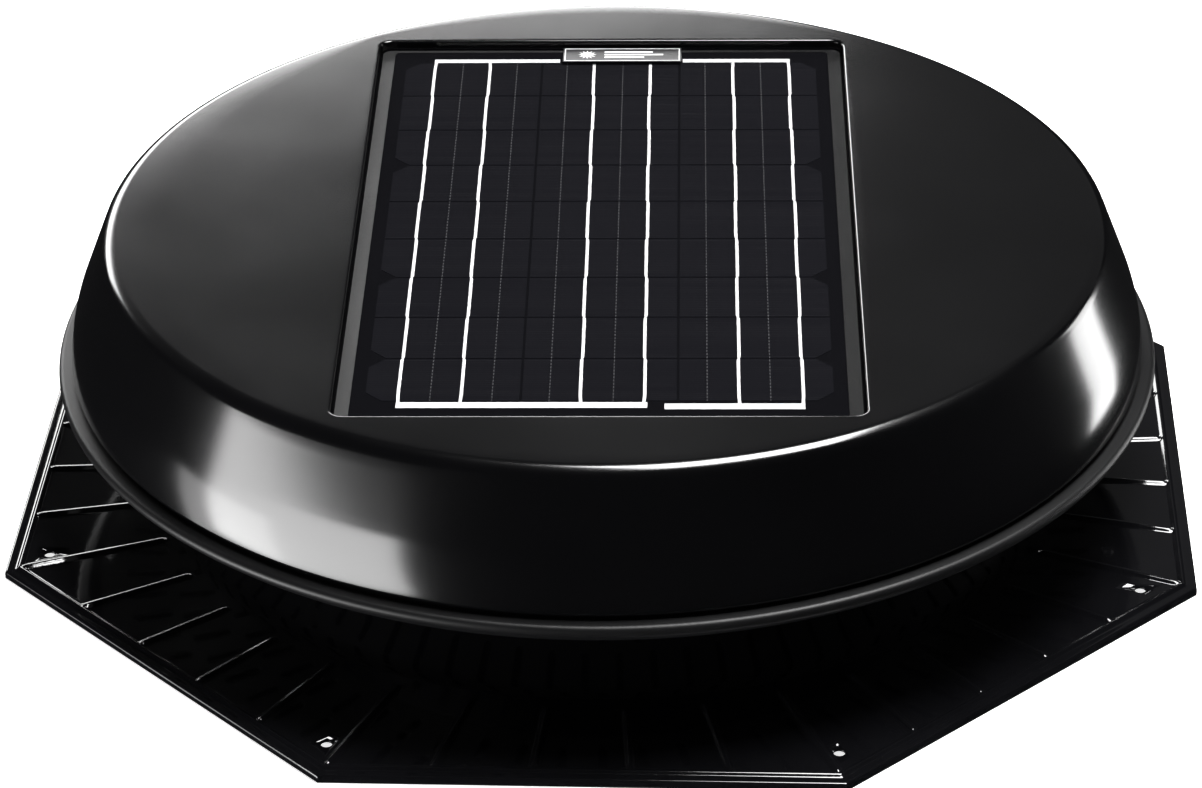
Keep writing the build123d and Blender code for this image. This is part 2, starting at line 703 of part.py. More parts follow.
with BuildPart() as blade:
    with BuildSketch(section_plane(BLADE_ROOT_R)):
        cambered_strip(camber_r, half_wrap, BLADE_SHEET)
    extrude(amount=BLADE_TIP_R - BLADE_ROOT_R)
    with BuildSketch(Plane.XY) as blade_plan:
        Polygon((BLADE_ROOT_R, -22), (105, -42), (190, -46), (190, 40), (105, 38), (BLADE_ROOT_R, 22), align=None)
        Circle(BLADE_TIP_R, mode=Mode.INTERSECT)
        fillet(blade_plan.vertices().sort_by(lambda corner: -hypot(corner.X, corner.Y))[:2], 16)
    extrude(amount=HOOD_TOP, mode=Mode.INTERSECT)
    for radius in RIVET_RADII:
        with BuildSketch(rivet_plane(radius, 5)):
            Circle(RIVET_R)
        extrude(amount=10, mode=Mode.SUBTRACT)
for number in range(BLADE_COUNT):
    fan_blade = blade.part.moved(Location((0, 0, 0), (0, 0, 360 * number / BLADE_COUNT)))
    fan_blade.label = f"fan_blade_{number + 1}"
    export_step(fan_blade, f"parts/fan_blade_{number + 1}.step")

tab_camber_r = camber_r - BLADE_SHEET / 2 - SPIDER_SHEET / 2 - 0.02
with BuildPart() as spider_tab:
    with BuildSketch(section_plane(34)):
        cambered_strip(tab_camber_r, degrees(TAB_WIDTH / tab_camber_r) / 2, SPIDER_SHEET)
    extrude(amount=TAB_REACH_R - 34)
    for radius in RIVET_RADII:
        with BuildSketch(rivet_plane(radius, 5)):
            Circle(RIVET_R)
        extrude(amount=10, mode=Mode.SUBTRACT)
with BuildPart() as fan_spider:
    with BuildSketch(Plane.XY.offset(SPIDER_Z)):
        Circle(SPIDER_R)
        Circle(HUB_R, mode=Mode.SUBTRACT)
    extrude(amount=SPIDER_SHEET)
    with PolarLocations(0, BLADE_COUNT):
        add(spider_tab.part)
    with BuildSketch(Plane.XY.offset(SPIDER_Z - 1)):
        with PolarLocations(22, 5, start_angle=36):
            Circle(2.0)
    extrude(amount=4, mode=Mode.SUBTRACT)
fan_spider.part.label = "fan_spider"
export_step(fan_spider.part, "parts/fan_spider.step")

with BuildPart() as fan_hub:
    with BuildSketch(Plane.XY.offset(40)):
        Circle(HUB_R)
        Circle(SHAFT_R, mode=Mode.SUBTRACT)
    extrude(amount=22)
    with BuildSketch(Plane.XY.offset(SPIDER_Z - 3)):
        Circle(HUB_FLANGE_R)
        Circle(HUB_R - 1, mode=Mode.SUBTRACT)
        with PolarLocations(22, 5, start_angle=36):
            Circle(2.0, mode=Mode.SUBTRACT)
    extrude(amount=3)
    with BuildSketch(Plane.XZ.offset(SHAFT_R)):
        with Locations((0, 57)):
            Circle(2.0)
    extrude(amount=HUB_R, mode=Mode.SUBTRACT)
fan_hub.part.label = "fan_hub"
export_step(fan_hub.part, "parts/fan_hub.step")

with BuildPart() as hub_rivets:
    with BuildSketch(Plane.XY.offset(SPIDER_Z - 3)):
        with PolarLocations(22, 5, start_angle=36):
            Circle(2.0)
    extrude(amount=3 + SPIDER_SHEET)
    with BuildSketch(Plane.XY.offset(SPIDER_Z + SPIDER_SHEET)):
        with PolarLocations(22, 5, start_angle=36):
            Circle(3.4)
    extrude(amount=1.4, taper=20)
    with BuildSketch(Plane.XY.offset(SPIDER_Z - 3)):
        with PolarLocations(22, 5, start_angle=36):
            Circle(3.4)
    extrude(amount=-1.4, taper=20)
hub_rivets.part.label = "hub_rivets"
export_step(hub_rivets.part, "parts/hub_rivets.step")

with BuildPart() as set_screw:
    with BuildSketch(Plane.XZ.offset(SHAFT_R)):
        with Locations((0, 57)):
            Circle(2.0)
            RegularPolygon(1.0, 6, mode=Mode.SUBTRACT)
    extrude(amount=9)
set_screw.part.label = "hub_set_screw"
export_step(set_screw.part, "parts/hub_set_screw.step")

with BuildPart() as hub_nut:
    with BuildSketch(Plane.XY.offset(34)):
        RegularPolygon(7.4, 6)
        Circle(SHAFT_R, mode=Mode.SUBTRACT)
    extrude(amount=6)
hub_nut.part.label = "hub_nut"
export_step(hub_nut.part, "parts/hub_nut.step")

rivet_grip = BLADE_SHEET / 2 + 0.02 + SPIDER_SHEET
with BuildPart() as one_blade_rivets:
    for radius in RIVET_RADII:
        with BuildSketch(rivet_plane(radius, rivet_grip + 0.08)):
            Circle(RIVET_R)
        extrude(amount=rivet_grip + 0.08 + BLADE_SHEET / 2 + 0.08)
        with BuildSketch(rivet_plane(radius, rivet_grip + 0.08)):
            Circle(4.2)
        extrude(amount=-1.3, taper=20)
        with BuildSketch(rivet_plane(radius, -BLADE_SHEET / 2 - 0.08)):
            Circle(4.2)
        extrude(amount=1.3, taper=20)
with BuildPart() as blade_rivets:
    with PolarLocations(0, BLADE_COUNT):
        add(one_blade_rivets.part)
blade_rivets.part.label = "blade_rivets"
export_step(blade_rivets.part, "parts/blade_rivets.step")

# ------------------------------------------------------------------ solar panel
with BuildPart() as panel_adhesive:
    with BuildSketch(head.offset(RECESS_FLOOR)):
        RectangleRounded(*LAMINATE, LAMINATE_CORNER)
        RectangleRounded(
            LAMINATE[0] - 2 * ADHESIVE_WIDTH, LAMINATE[1] - 2 * ADHESIVE_WIDTH, LAMINATE_CORNER, mode=Mode.SUBTRACT
        )
    extrude(amount=ADHESIVE)
panel_adhesive.part.label = "panel_adhesive"
export_step(panel_adhesive.part, "parts/panel_adhesive.step")

with BuildPart() as panel_backsheet:
    with BuildSketch(head.offset(BACKSHEET_Z)):
        RectangleRounded(*LAMINATE, LAMINATE_CORNER)
    extrude(amount=BACKSHEET)
panel_backsheet.part.label = "panel_backsheet"
export_step(panel_backsheet.part, "parts/panel_backsheet.step")

with BuildPart() as edge_seal:
    with BuildSketch(head.offset(CELLS_Z)):
        RectangleRounded(*LAMINATE, LAMINATE_CORNER)
        RectangleRounded(LAMINATE[0] - 14, LAMINATE[1] - 5, 3, mode=Mode.SUBTRACT)
    extrude(amount=SEAL)
edge_seal.part.label = "edge_seal"
export_step(edge_seal.part, "parts/edge_seal.step")

with BuildPart() as panel_glass:
    with BuildSketch(head.offset(CELLS_Z + SEAL)):
        RectangleRounded(*LAMINATE, LAMINATE_CORNER)
    extrude(amount=GLASS)
    chamfer(panel_glass.edges().group_by(Axis.Z)[-1], 0.5)
panel_glass.part.label = "panel_glass"
export_step(panel_glass.part, "parts/panel_glass.step")


def cell_outline(column, row):
    """Corner points of one cell; the outer columns keep the wafer's cut corners at each group's ends."""
    left = (column - 1) * COLUMN_PITCH - CELL_WIDTH / 2
    top = CELL_FIELD_Y + (CELL_ROWS / 2 - row) * CELL_PITCH - CELL_GAP / 2
    right, bottom = left + CELL_WIDTH, top - CELL_PITCH + CELL_GAP
    cut_top = column != 1 and any(row == first for first, last in WAFER_GROUPS)
    cut_bottom = column != 1 and any(row == last for first, last in WAFER_GROUPS)
    outer, inner = (left, right) if column == 0 else (right, left)
    inwards = CELL_CHAMFER if column == 0 else -CELL_CHAMFER
    points = [(inner, bottom), (inner, top)]
    points += [(outer + inwards, top), (outer, top - CELL_CHAMFER)] if cut_top else [(outer, top)]
    points += [(outer, bottom + CELL_CHAMFER), (outer + inwards, bottom)] if cut_bottom else [(outer, bottom)]
    return points


with BuildPart() as solar_cells:
    with BuildSketch(head.offset(CELLS_Z)):
        for column in range(3):
            for row in range(CELL_ROWS):
                with BuildLine():
                    Polyline(*cell_outline(column, row), close=True)
                make_face()
    extrude(amount=CELL)
solar_cells.part.label = "solar_cells"
export_step(solar_cells.part, "parts/solar_cells.step")

ribbon_tops = [TOP_BUS_Y, TOP_BUS_Y, MIDDLE_RIBBON_TOP, MIDDLE_RIBBON_TOP, TOP_BUS_Y, TOP_BUS_Y]
ribbon_bottoms = [BOTTOM_BUS_YS[0]] * 4 + [BOTTOM_BUS_YS[1]] * 2

with BuildPart() as cell_ribbons:
    with BuildSketch(head.offset(CELLS_Z + CELL)):
        for ribbon_x, ribbon_top, ribbon_bottom in zip(RIBBON_XS, ribbon_tops, ribbon_bottoms):
            with Locations((ribbon_x, (ribbon_top + ribbon_bottom) / 2)):
                Rectangle(RIBBON_WIDTH, ribbon_top - ribbon_bottom)
    extrude(amount=CONDUCTOR)
cell_ribbons.part.label = "cell_ribbons"
export_step(cell_ribbons.part, "parts/cell_ribbons.step")

bars_left = RIBBON_XS[0] - RIBBON_WIDTH / 2
bars_right = RIBBON_XS[5] + RIBBON_WIDTH / 2
bus_bar_spans = [
    (bars_left, TOP_BUS_ENDS[0], TOP_BUS_Y, TOP_BUS_WIDTH),
    (TOP_BUS_ENDS[1], bars_right, TOP_BUS_Y, TOP_BUS_WIDTH),
    (bars_left, BOTTOM_BUS_ENDS[0], BOTTOM_BUS_YS[0], BOTTOM_BUS_WIDTH),
    (BOTTOM_BUS_ENDS[1], bars_right, BOTTOM_BUS_YS[1], BOTTOM_BUS_WIDTH),
]
with BuildPart() as bus_bars:
    with BuildSketch(head.offset(CELLS_Z)):
        for bar_left, bar_right, bar_y, bar_width in bus_bar_spans:
            with Locations(((bar_left + bar_right) / 2, bar_y)):
                Rectangle(bar_right - bar_left, bar_width)
    extrude(amount=CELL)
bus_bars.part.label = "bus_bars"
export_step(bus_bars.part, "parts/bus_bars.step")

with BuildPart() as panel_label:
    with BuildSketch(head.offset(GLASS_TOP)):
        with Locations(LABEL_AT):
            Rectangle(*LABEL)
    extrude(amount=LABEL_SHEET)
panel_label.part.label = "panel_label"
export_step(panel_label.part, "parts/panel_label.step")

# ------------------------------------------------------------------ junction box
with BuildPart() as junction_box:
    with BuildSketch(head.offset(BOX_BOTTOM)):
        with Locations(BOX_AT):
            RectangleRounded(*BOX, BOX_CORNER)
    extrude(amount=FLOOR_UNDERSIDE - BOX_BOTTOM)
    with BuildSketch(head.offset(BOX_BOTTOM)):
        with Locations(BOX_AT):
            RectangleRounded(BOX[0] - 2 * BOX_WALL, BOX[1] - 2 * BOX_WALL, 3)
            with GridLocations(BOX[0] - 10, BOX[1] - 10, 2, 2):
                Circle(4, mode=Mode.SUBTRACT)
    extrude(amount=FLOOR_UNDERSIDE - BOX_BOTTOM - BOX_WALL, mode=Mode.SUBTRACT)
    with BuildSketch(head.offset(FLOOR_UNDERSIDE)):
        with Locations((BOX_AT[0], BOX_AT[1] + 8)):
            RectangleRounded(40, 20, 3)
    extrude(amount=-BOX_WALL, mode=Mode.SUBTRACT)
    with BuildSketch(head.offset(BOX_BOTTOM)):
        with Locations(BOX_AT):
            with GridLocations(BOX[0] - 10, BOX[1] - 10, 2, 2):
                Circle(1.5)
    extrude(amount=8, mode=Mode.SUBTRACT)
    box_side = Plane(
        origin=head.from_local_coords((BOX_AT[0] - BOX[0] / 2, BOX_AT[1], LEAD_Z)),
        x_dir=-head.y_dir,
        z_dir=-head.x_dir,
    )
    with BuildSketch(box_side.offset(-2 * BOX_WALL)):
        Circle(6.0)
    extrude(amount=3 * BOX_WALL, mode=Mode.SUBTRACT)
junction_box.part.label = "junction_box"
export_step(junction_box.part, "parts/junction_box.step")

with BuildPart() as junction_box_lid:
    with BuildSketch(head.offset(BOX_BOTTOM - LID_SHEET)):
        with Locations(BOX_AT):
            RectangleRounded(*BOX, BOX_CORNER)
            with GridLocations(BOX[0] - 10, BOX[1] - 10, 2, 2):
                Circle(1.6, mode=Mode.SUBTRACT)
    extrude(amount=LID_SHEET)
    chamfer(junction_box_lid.faces().sort_by(Axis.Z)[0].outer_wire().edges(), 0.6)
junction_box_lid.part.label = "junction_box_lid"
export_step(junction_box_lid.part, "parts/junction_box_lid.step")

with BuildPart() as lid_screws:
    with BuildSketch(head.offset(BOX_BOTTOM - LID_SHEET)):
        with Locations(BOX_AT):
            with GridLocations(BOX[0] - 10, BOX[1] - 10, 2, 2):
                Circle(1.5)
    extrude(amount=LID_SHEET + 7)
    with BuildSketch(head.offset(BOX_BOTTOM - LID_SHEET)):
        with Locations(BOX_AT):
            with GridLocations(BOX[0] - 10, BOX[1] - 10, 2, 2):
                Circle(2.9)
    extrude(amount=-1.8, taper=15)
lid_screws.part.label = "lid_screws"
export_step(lid_screws.part, "parts/lid_screws.step")

with BuildPart() as cable_gland:
    with BuildSketch(box_side.offset(-BOX_WALL - 2)):
        Circle(5.9)
    extrude(amount=BOX_WALL + 2)
    with BuildSketch(box_side):
        RegularPolygon(8.4, 6)
    extrude(amount=5)
    with BuildSketch(box_side.offset(5)):
        Circle(7.2)
    extrude(amount=10, taper=14)
    with BuildSketch(box_side.offset(-BOX_WALL - 2)):
        Circle(LEAD_BORE_R)
    extrude(amount=BOX_WALL + 20, mode=Mode.SUBTRACT)
cable_gland.part.label = "cable_gland"
export_step(cable_gland.part, "parts/cable_gland.step")

# ------------------------------------------------------------------ lead from the box to the motor
entry = radians(MOTOR_ENTRY_ANGLE)
panel_route = [(-34, 125, LEAD_Z), (-80, 125, LEAD_Z), (-108, 112, LEAD_Z), (-122, 86, LEAD_Z), (-122, 56, LEAD_Z)]
motor_route = [
    (-122, 8, LEAD_Z),
    (-122, -11.6, LEAD_Z),
    (-108.9, -33.1, 130.0),
    (-86.6, -44.7, 126.0),
    (75.1 * cos(entry), 75.1 * sin(entry), MOTOR_ENTRY_Z),
    (42 * cos(entry), 42 * sin(entry), MOTOR_ENTRY_Z),
]


def bend_radii(route):
    """The largest bend at each inner point that leaves a tenth of the shorter run straight."""
    radii = []
    for before, here, after in zip(route, route[1:], route[2:]):
        arriving, leaving = Vector(here) - Vector(before), Vector(after) - Vector(here)
        half_turn = radians(arriving.get_angle(leaving)) / 2
        radii.append(0.45 * min(arriving.length, leaving.length) / tan(half_turn))
    return radii


def lead_start(route):
    """The plane square to a route's first run."""
    return Plane(origin=route[0], z_dir=Vector(route[1]) - Vector(route[0]))


for name, local_route in (("panel_lead", panel_route), ("motor_lead", motor_route)):
    route = [head.from_local_coords(point) for point in local_route]
    radii = bend_radii(route)
    with BuildPart() as lead:
        with BuildLine() as path:
            FilletPolyline(*route, radius=radii)
        with BuildSketch(lead_start(route)):
            Circle(LEAD_R)
        sweep(path=path.wire())
    length = path.wire().length
    print(name, "radii", [round(radius, 1) for radius in radii], "length", round(length, 1))
    print(name, "volume over section times length", round(lead.part.volume / (pi * LEAD_R**2 * length), 4))
    lead.part.label = name
    export_step(lead.part, f"parts/{name}.step")

connector_plane = Plane(
    origin=head.from_local_coords(panel_route[-1]), x_dir=head.x_dir, z_dir=-head.y_dir
)
with BuildPart() as connector_socket:
    with BuildSketch(connector_plane):
        Circle(5)
    extrude(amount=6)
    with BuildSketch(connector_plane.offset(6)):
        RegularPolygon(CONNECTOR_R, 6)
    extrude(amount=6)
    with BuildSketch(connector_plane.offset(12)):
        Circle(CONNECTOR_R - 0.6)
    extrude(amount=12)
connector_socket.part.label = "connector_socket"
export_step(connector_socket.part, "parts/connector_socket.step")

with BuildPart() as connector_plug:
    with BuildSketch(connector_plane.offset(24)):
        Circle(CONNECTOR_R)
    extrude(amount=12)
    with BuildSketch(connector_plane.offset(36)):
        RegularPolygon(CONNECTOR_R, 6)
    extrude(amount=6)
    with BuildSketch(connector_plane.offset(42)):
        Circle(5)
    extrude(amount=6)
connector_plug.part.label = "connector_plug"
export_step(connector_plug.part, "parts/connector_plug.step")

with BuildPart() as lead_clips:
    for clip_y in CLIP_YS:
        clip_plane = Plane(
            origin=head.from_local_coords((-122, clip_y, 0)), x_dir=head.x_dir, z_dir=-head.y_dir
        )
        with BuildSketch(clip_plane):
            with Locations((0, LEAD_Z)):
                Circle(5.2)
            with Locations((0, (LEAD_Z + FLOOR_UNDERSIDE) / 2)):
                Rectangle(4, FLOOR_UNDERSIDE - LEAD_Z)
            with Locations((0, FLOOR_UNDERSIDE - 0.8)):
                Rectangle(18, 1.6)
            with Locations((0, LEAD_Z)):
                Circle(LEAD_BORE_R, mode=Mode.SUBTRACT)
        extrude(amount=3, both=True)
lead_clips.part.label = "lead_clips"
export_step(lead_clips.part, "parts/lead_clips.step")
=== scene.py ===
"""Studio scene of a round roof-mounted solar attic fan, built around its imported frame."""

import json
import logging
from dataclasses import dataclass, field
from enum import Enum
from math import cos, pi, radians, sin, tan

import bpy
import numpy as np
from mathutils import Matrix, Vector


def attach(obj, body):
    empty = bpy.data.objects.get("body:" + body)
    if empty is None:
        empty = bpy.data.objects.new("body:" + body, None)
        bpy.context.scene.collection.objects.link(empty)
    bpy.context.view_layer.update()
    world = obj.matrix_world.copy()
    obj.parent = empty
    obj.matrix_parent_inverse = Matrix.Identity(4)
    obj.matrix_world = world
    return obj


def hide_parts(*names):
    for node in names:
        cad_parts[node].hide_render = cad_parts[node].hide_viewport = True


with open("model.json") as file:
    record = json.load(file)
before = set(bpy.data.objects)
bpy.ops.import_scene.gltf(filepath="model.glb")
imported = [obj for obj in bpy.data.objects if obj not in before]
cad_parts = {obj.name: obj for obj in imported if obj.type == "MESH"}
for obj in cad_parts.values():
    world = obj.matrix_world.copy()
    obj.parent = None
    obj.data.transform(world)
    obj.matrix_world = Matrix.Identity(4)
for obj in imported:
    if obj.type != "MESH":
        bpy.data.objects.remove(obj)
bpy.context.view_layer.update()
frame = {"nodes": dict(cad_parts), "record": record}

logging.basicConfig(level=logging.INFO, format="%(message)s")
LOG = logging.getLogger("attic_fan")

MM = 0.001
HEAD_TURN = radians(1.5)
HOUSING = "housing"


class Grain(Enum):
    """The kind of fine surface a finish has."""

    POWDER = "powder"
    GLOSS = "gloss"
    MOULDED = "moulded"
    BRUSHED = "brushed"
    SPANGLE = "spangle"
    TURNED = "turned"
    WOUND = "wound"


# ---------------------------------------------------------------- shader maths


class Signal:
    """A number that varies over a surface; Python's operators add Math nodes to its graph."""

    def __init__(self, graph: "Graph", socket: bpy.types.NodeSocket) -> None:
        """Keeps the graph and the output socket that carries the number."""
        self.graph = graph
        self.socket = socket

    def math(self, operation: str, other: "Signal | float" = 0.0, swap: bool = False) -> "Signal":
        """Adds one Math node.

        Args:
            operation: The Math node's operation.
            other: The second operand.
            swap: Puts the other operand first.

        Returns:
            The node's result.
        """
        first, second = (other, self) if swap else (self, other)
        node = self.graph.node("ShaderNodeMath", {"operation": operation}, {0: first, 1: second})
        return Signal(self.graph, node.outputs[0])

    def __add__(self, other: "Signal | float") -> "Signal":
        """Returns the sum."""
        return self.math("ADD", other)

    def __radd__(self, other: float) -> "Signal":
        """Returns the sum with a number on the left."""
        return self.math("ADD", other)

    def __sub__(self, other: "Signal | float") -> "Signal":
        """Returns the difference."""
        return self.math("SUBTRACT", other)

    def __rsub__(self, other: float) -> "Signal":
        """Returns the difference with a number on the left."""
        return self.math("SUBTRACT", other, swap=True)

    def __mul__(self, other: "Signal | float") -> "Signal":
        """Returns the product."""
        return self.math("MULTIPLY", other)

    def __rmul__(self, other: float) -> "Signal":
        """Returns the product with a number on the left."""
        return self.math("MULTIPLY", other)

    def __truediv__(self, other: "Signal | float") -> "Signal":
        """Returns the quotient."""
        return self.math("DIVIDE", other)

    def __abs__(self) -> "Signal":
        """Returns the magnitude."""
        return self.math("ABSOLUTE")

    def below(self, limit: float) -> "Signal":
        """Returns 1 where the number is under the limit, else 0."""
        return self.math("LESS_THAN", limit)

    def phase(self, pitch: float) -> "Signal":
        """Returns how far along the current pitch the number is, from 0 to 1."""
        return (self / pitch).math("FRACT")


class Graph:
    """The node graph of one material around one Principled shader."""

    def __init__(self, name: str) -> None:
        """Makes an empty material with a Principled shader joined to its output."""
        self.material = bpy.data.materials.new(name)
        self.material.use_nodes = True
        self.tree = self.material.node_tree
        self.tree.nodes.clear()
        self.shader = self.node("ShaderNodeBsdfPrincipled")
        self.output = self.node("ShaderNodeOutputMaterial", None, {0: self.shader.outputs[0]})

    def node(self, kind: str, settings: dict | None = None, sockets: dict | None = None) -> bpy.types.Node:
        """Adds any node.

        Args:
            kind: The node's type name.
            settings: Properties set before the sockets, such as an operation or a ramp's stops.
            sockets: Socket name or index to a value, a socket or a Signal.

        Returns:
            The new node.
        """
        node = self.tree.nodes.new(kind)
        for key, value in (settings or {}).items():
            if key == "stops":
                ramp = node.color_ramp
                for element, (position, shade) in zip(ramp.elements, value):
                    element.position = position
                    element.color = (shade, shade, shade, 1.0)
            else:
                setattr(node, key, value)
        for key, value in (sockets or {}).items():
            if isinstance(value, Signal):
                value = value.socket
            if isinstance(value, bpy.types.NodeSocket):
                self.tree.links.new(value, node.inputs[key])
            else:
                node.inputs[key].default_value = value
        return node

    def place(
        self, turn: float = 0.0, stretch: tuple[float, float, float] = (1.0, 1.0, 1.0)
    ) -> bpy.types.NodeSocket:
        """Returns the surface point in metres, turned about the axis and stretched."""
        where = self.node("ShaderNodeTexCoord").outputs["Object"]
        sockets = {"Vector": where, "Scale": stretch}
        mapping = self.node("ShaderNodeMapping", {"vector_type": "POINT"}, sockets)
        mapping.inputs["Rotation"].default_value = (0.0, 0.0, turn)
        return mapping.outputs[0]

    def axes(self, turn: float = 0.0) -> tuple[Signal, Signal, Signal]:
        """Returns the surface point's three coordinates in metres, turned about the axis."""
        split = self.node("ShaderNodeSeparateXYZ", None, {0: self.place(turn)})
        return tuple(Signal(self, output) for output in split.outputs)

    def noise(
        self,
        scale: float,
        detail: float = 3.0,
        stretch: tuple[float, float, float] = (1.0, 1.0, 1.0),
        turn: float = 0.0,
    ) -> Signal:
        """Returns smooth noise from 0 to 1.

        Args:
            scale: Cycles per metre.
            detail: Octaves of finer noise.
            stretch: Scale along each axis, for streaks.
            turn: Angle of the streaks about the axis.

        Returns:
            The noise.
        """
        node = self.node(
            "ShaderNodeTexNoise",
            None,
            {"Vector": self.place(turn, stretch), "Scale": scale, "Detail": detail, "Roughness": 0.55},
        )
        return Signal(self, node.outputs[0])

    def spans(self, signal: Signal, low: float, high: float, start: float = 0.0, end: float = 1.0) -> Signal:
        """Returns the signal mapped from low..high to start..end and held there."""
        node = self.node(
            "ShaderNodeMapRange", {"clamp": True}, {0: signal, 1: low, 2: high, 3: start, 4: end}
        )
        return Signal(self, node.outputs[0])

    def colours(self, factor: Signal, first: tuple, second: tuple) -> bpy.types.NodeSocket:
        """Returns the first colour where the factor is 0 and the second where it is 1."""
        node = self.node(
            "ShaderNodeMix", {"data_type": "RGBA"}, {0: factor, 6: (*first, 1.0), 7: second_colour(second)}
        )
        return node.outputs[2]

    def bump(self, height: Signal, distance: float, strength: float = 1.0) -> None:
        """Joins a height in units of distance to the shader's normal."""
        sockets = {"Strength": strength, "Distance": distance, "Height": height}
        node = self.node("ShaderNodeBump", None, sockets)
        self.tree.links.new(node.outputs[0], self.shader.inputs["Normal"])

    def feed(self, **sockets: object) -> None:
        """Sets or joins the shader's sockets, named with underscores for spaces."""
        for key, value in sockets.items():
            target = self.shader.inputs[key.replace("_", " ")]
            if isinstance(value, Signal):
                value = value.socket
            if isinstance(value, bpy.types.NodeSocket):
                self.tree.links.new(value, target)
            else:
                target.default_value = value


def second_colour(colour: tuple | bpy.types.NodeSocket) -> tuple | bpy.types.NodeSocket:
    """Returns a colour with alpha, or a colour socket as it is."""
    return colour if isinstance(colour, bpy.types.NodeSocket) else (*colour, 1.0)


# ---------------------------------------------------------------- finishes


@dataclass(frozen=True)
class Finish:
    """One plain finish: a colour that wanders a little, a roughness that wanders, and a fine grain."""

    name: str
    grain: Grain
    colour: tuple[float, float, float]
    roughness: float
    metallic: float = 0.0
    wander: float = 0.25
    coat: float = 0.0
    shine: float = 0.5
    pitch: float = 1.2 * MM
    relief: float = 0.02 * MM

    def make(self) -> bpy.types.Material:
        """Builds the material.

        Returns:
            The finished material.
        """
        graph = Graph(self.name)
        cloud = graph.noise(9.0, 4.0)
        fine = self.fine_grain(graph)
        darker = tuple(channel * (1.0 - self.wander) for channel in self.colour)
        lighter = tuple(channel * (1.0 + self.wander) for channel in self.colour)
        mix = graph.spans(cloud * 0.5 + fine * 0.5, 0.3, 0.7)
        low, high = self.roughness * 0.86, self.roughness * 1.14
        graph.feed(
            Base_Color=graph.colours(mix, darker, lighter),
            Roughness=graph.spans(cloud * 0.6 + fine * 0.4, 0.32, 0.68, low, high),
            Metallic=self.metallic,
            Specular_IOR_Level=self.shine,
            Coat_Weight=self.coat,
            Coat_Roughness=0.04,
        )
        graph.bump(fine, self.relief)
        return graph.material

    def fine_grain(self, graph: Graph) -> Signal:
        """Returns the fine pattern of this grain, from 0 to 1."""
        per_metre = 1.0 / self.pitch
        if self.grain is Grain.BRUSHED:
            return graph.noise(per_metre, 2.0, (1.0, 0.04, 1.0), radians(45))
        if self.grain is Grain.SPANGLE:
            sockets = {"Vector": graph.place(), "Scale": per_metre * 0.12}
            cells = graph.node("ShaderNodeTexVoronoi", {"feature": "F1"}, sockets)
            shade = graph.node("ShaderNodeSeparateColor", None, {0: cells.outputs["Color"]})
            return Signal(graph, shade.outputs[0]) * 0.5 + graph.noise(per_metre, 2.0) * 0.5
        if self.grain is Grain.TURNED:
            x, y, _ = graph.axes()
            radius = (x * x + y * y).math("SQRT")
            return abs(radius.phase(self.pitch) - 0.5) + graph.noise(per_metre * 0.5, 2.0) * 0.5
        if self.grain is Grain.WOUND:
            _, _, z = graph.axes()
            return abs(z.phase(self.pitch) - 0.5) * 2.0
        if self.grain is Grain.GLOSS:
            return graph.noise(per_metre * 0.1, 2.0) * 0.7 + graph.noise(per_metre, 2.0) * 0.3
        if self.grain is Grain.MOULDED:
            return graph.noise(per_metre, 5.0)
        return graph.noise(per_metre, 2.0) * 0.6 + graph.noise(per_metre * 2.7, 1.0) * 0.4


@dataclass(frozen=True)
class CellFinish:
    """Dark silicon with fine finger lines, faint unused busbars and slow shade changes."""

    name: str = "cells"
    colour: tuple[float, float, float] = (0.0058, 0.0058, 0.0073)
    finger_colour: tuple[float, float, float] = (0.0150, 0.0150, 0.0165)
    busbar_colour: tuple[float, float, float] = (0.12, 0.12, 0.125)
    finger_pitch: float = 1.9 * MM
    finger_share: float = 0.3
    bare_busbars: tuple[float, ...] = (-85.5, -54.2, -25.2, 7.1, 54.5, 86.5)
    busbar_half: float = 0.28 * MM
    dash_pitch: float = 3.4 * MM

    def make(self) -> bpy.types.Material:
        """Builds the material.

        Returns:
            The finished material.
        """
        graph = Graph(self.name)
        x, y, _ = graph.axes(-HEAD_TURN)
        fingers = y.phase(self.finger_pitch).below(self.finger_share)
        bands = graph.spans(graph.noise(60.0, 3.0, (0.05, 3.0, 1.0), -HEAD_TURN), 0.35, 0.65, 0.25, 1.0)
        speckle = graph.spans(graph.noise(900.0, 1.0), 0.3, 0.7, 0.6, 1.0)
        silicon = graph.colours(fingers * bands * speckle, self.colour, self.finger_colour)
        dashes = y.phase(self.dash_pitch).below(0.55)
        busbars = None
        for centre in self.bare_busbars:
            line = abs(x - centre * MM).below(self.busbar_half)
            busbars = line if busbars is None else busbars + line
        node = graph.node(
            "ShaderNodeMix",
            {"data_type": "RGBA"},
            {0: busbars * dashes * 0.55, 6: silicon, 7: (*self.busbar_colour, 1.0)},
        )
        graph.feed(Base_Color=node.outputs[2], Roughness=0.32, Metallic=0.0, Specular_IOR_Level=0.0)
        graph.bump(fingers, 0.01 * MM)
        return graph.material


@dataclass(frozen=True)
class GlassFinish:
    """Clear front glass: thin, slightly smoked, with a low-iron shine."""

    name: str = "glass"
    colour: tuple[float, float, float] = (0.004, 0.004, 0.005)
    alpha: float = 0.12
    shine: float = 0.02

    def make(self) -> bpy.types.Material:
        """Builds the material.

        Returns:
            The finished material.
        """
        graph = Graph(self.name)
        smear = graph.spans(graph.noise(14.0, 4.0), 0.3, 0.7, 0.05, 0.11)
        graph.feed(
            Base_Color=(*self.colour, 1.0),
            Roughness=smear,
            IOR=1.5,
            Specular_IOR_Level=self.shine,
            Alpha=self.alpha,
        )
        graph.bump(graph.noise(30.0, 2.0), 0.01 * MM)
        return graph.material


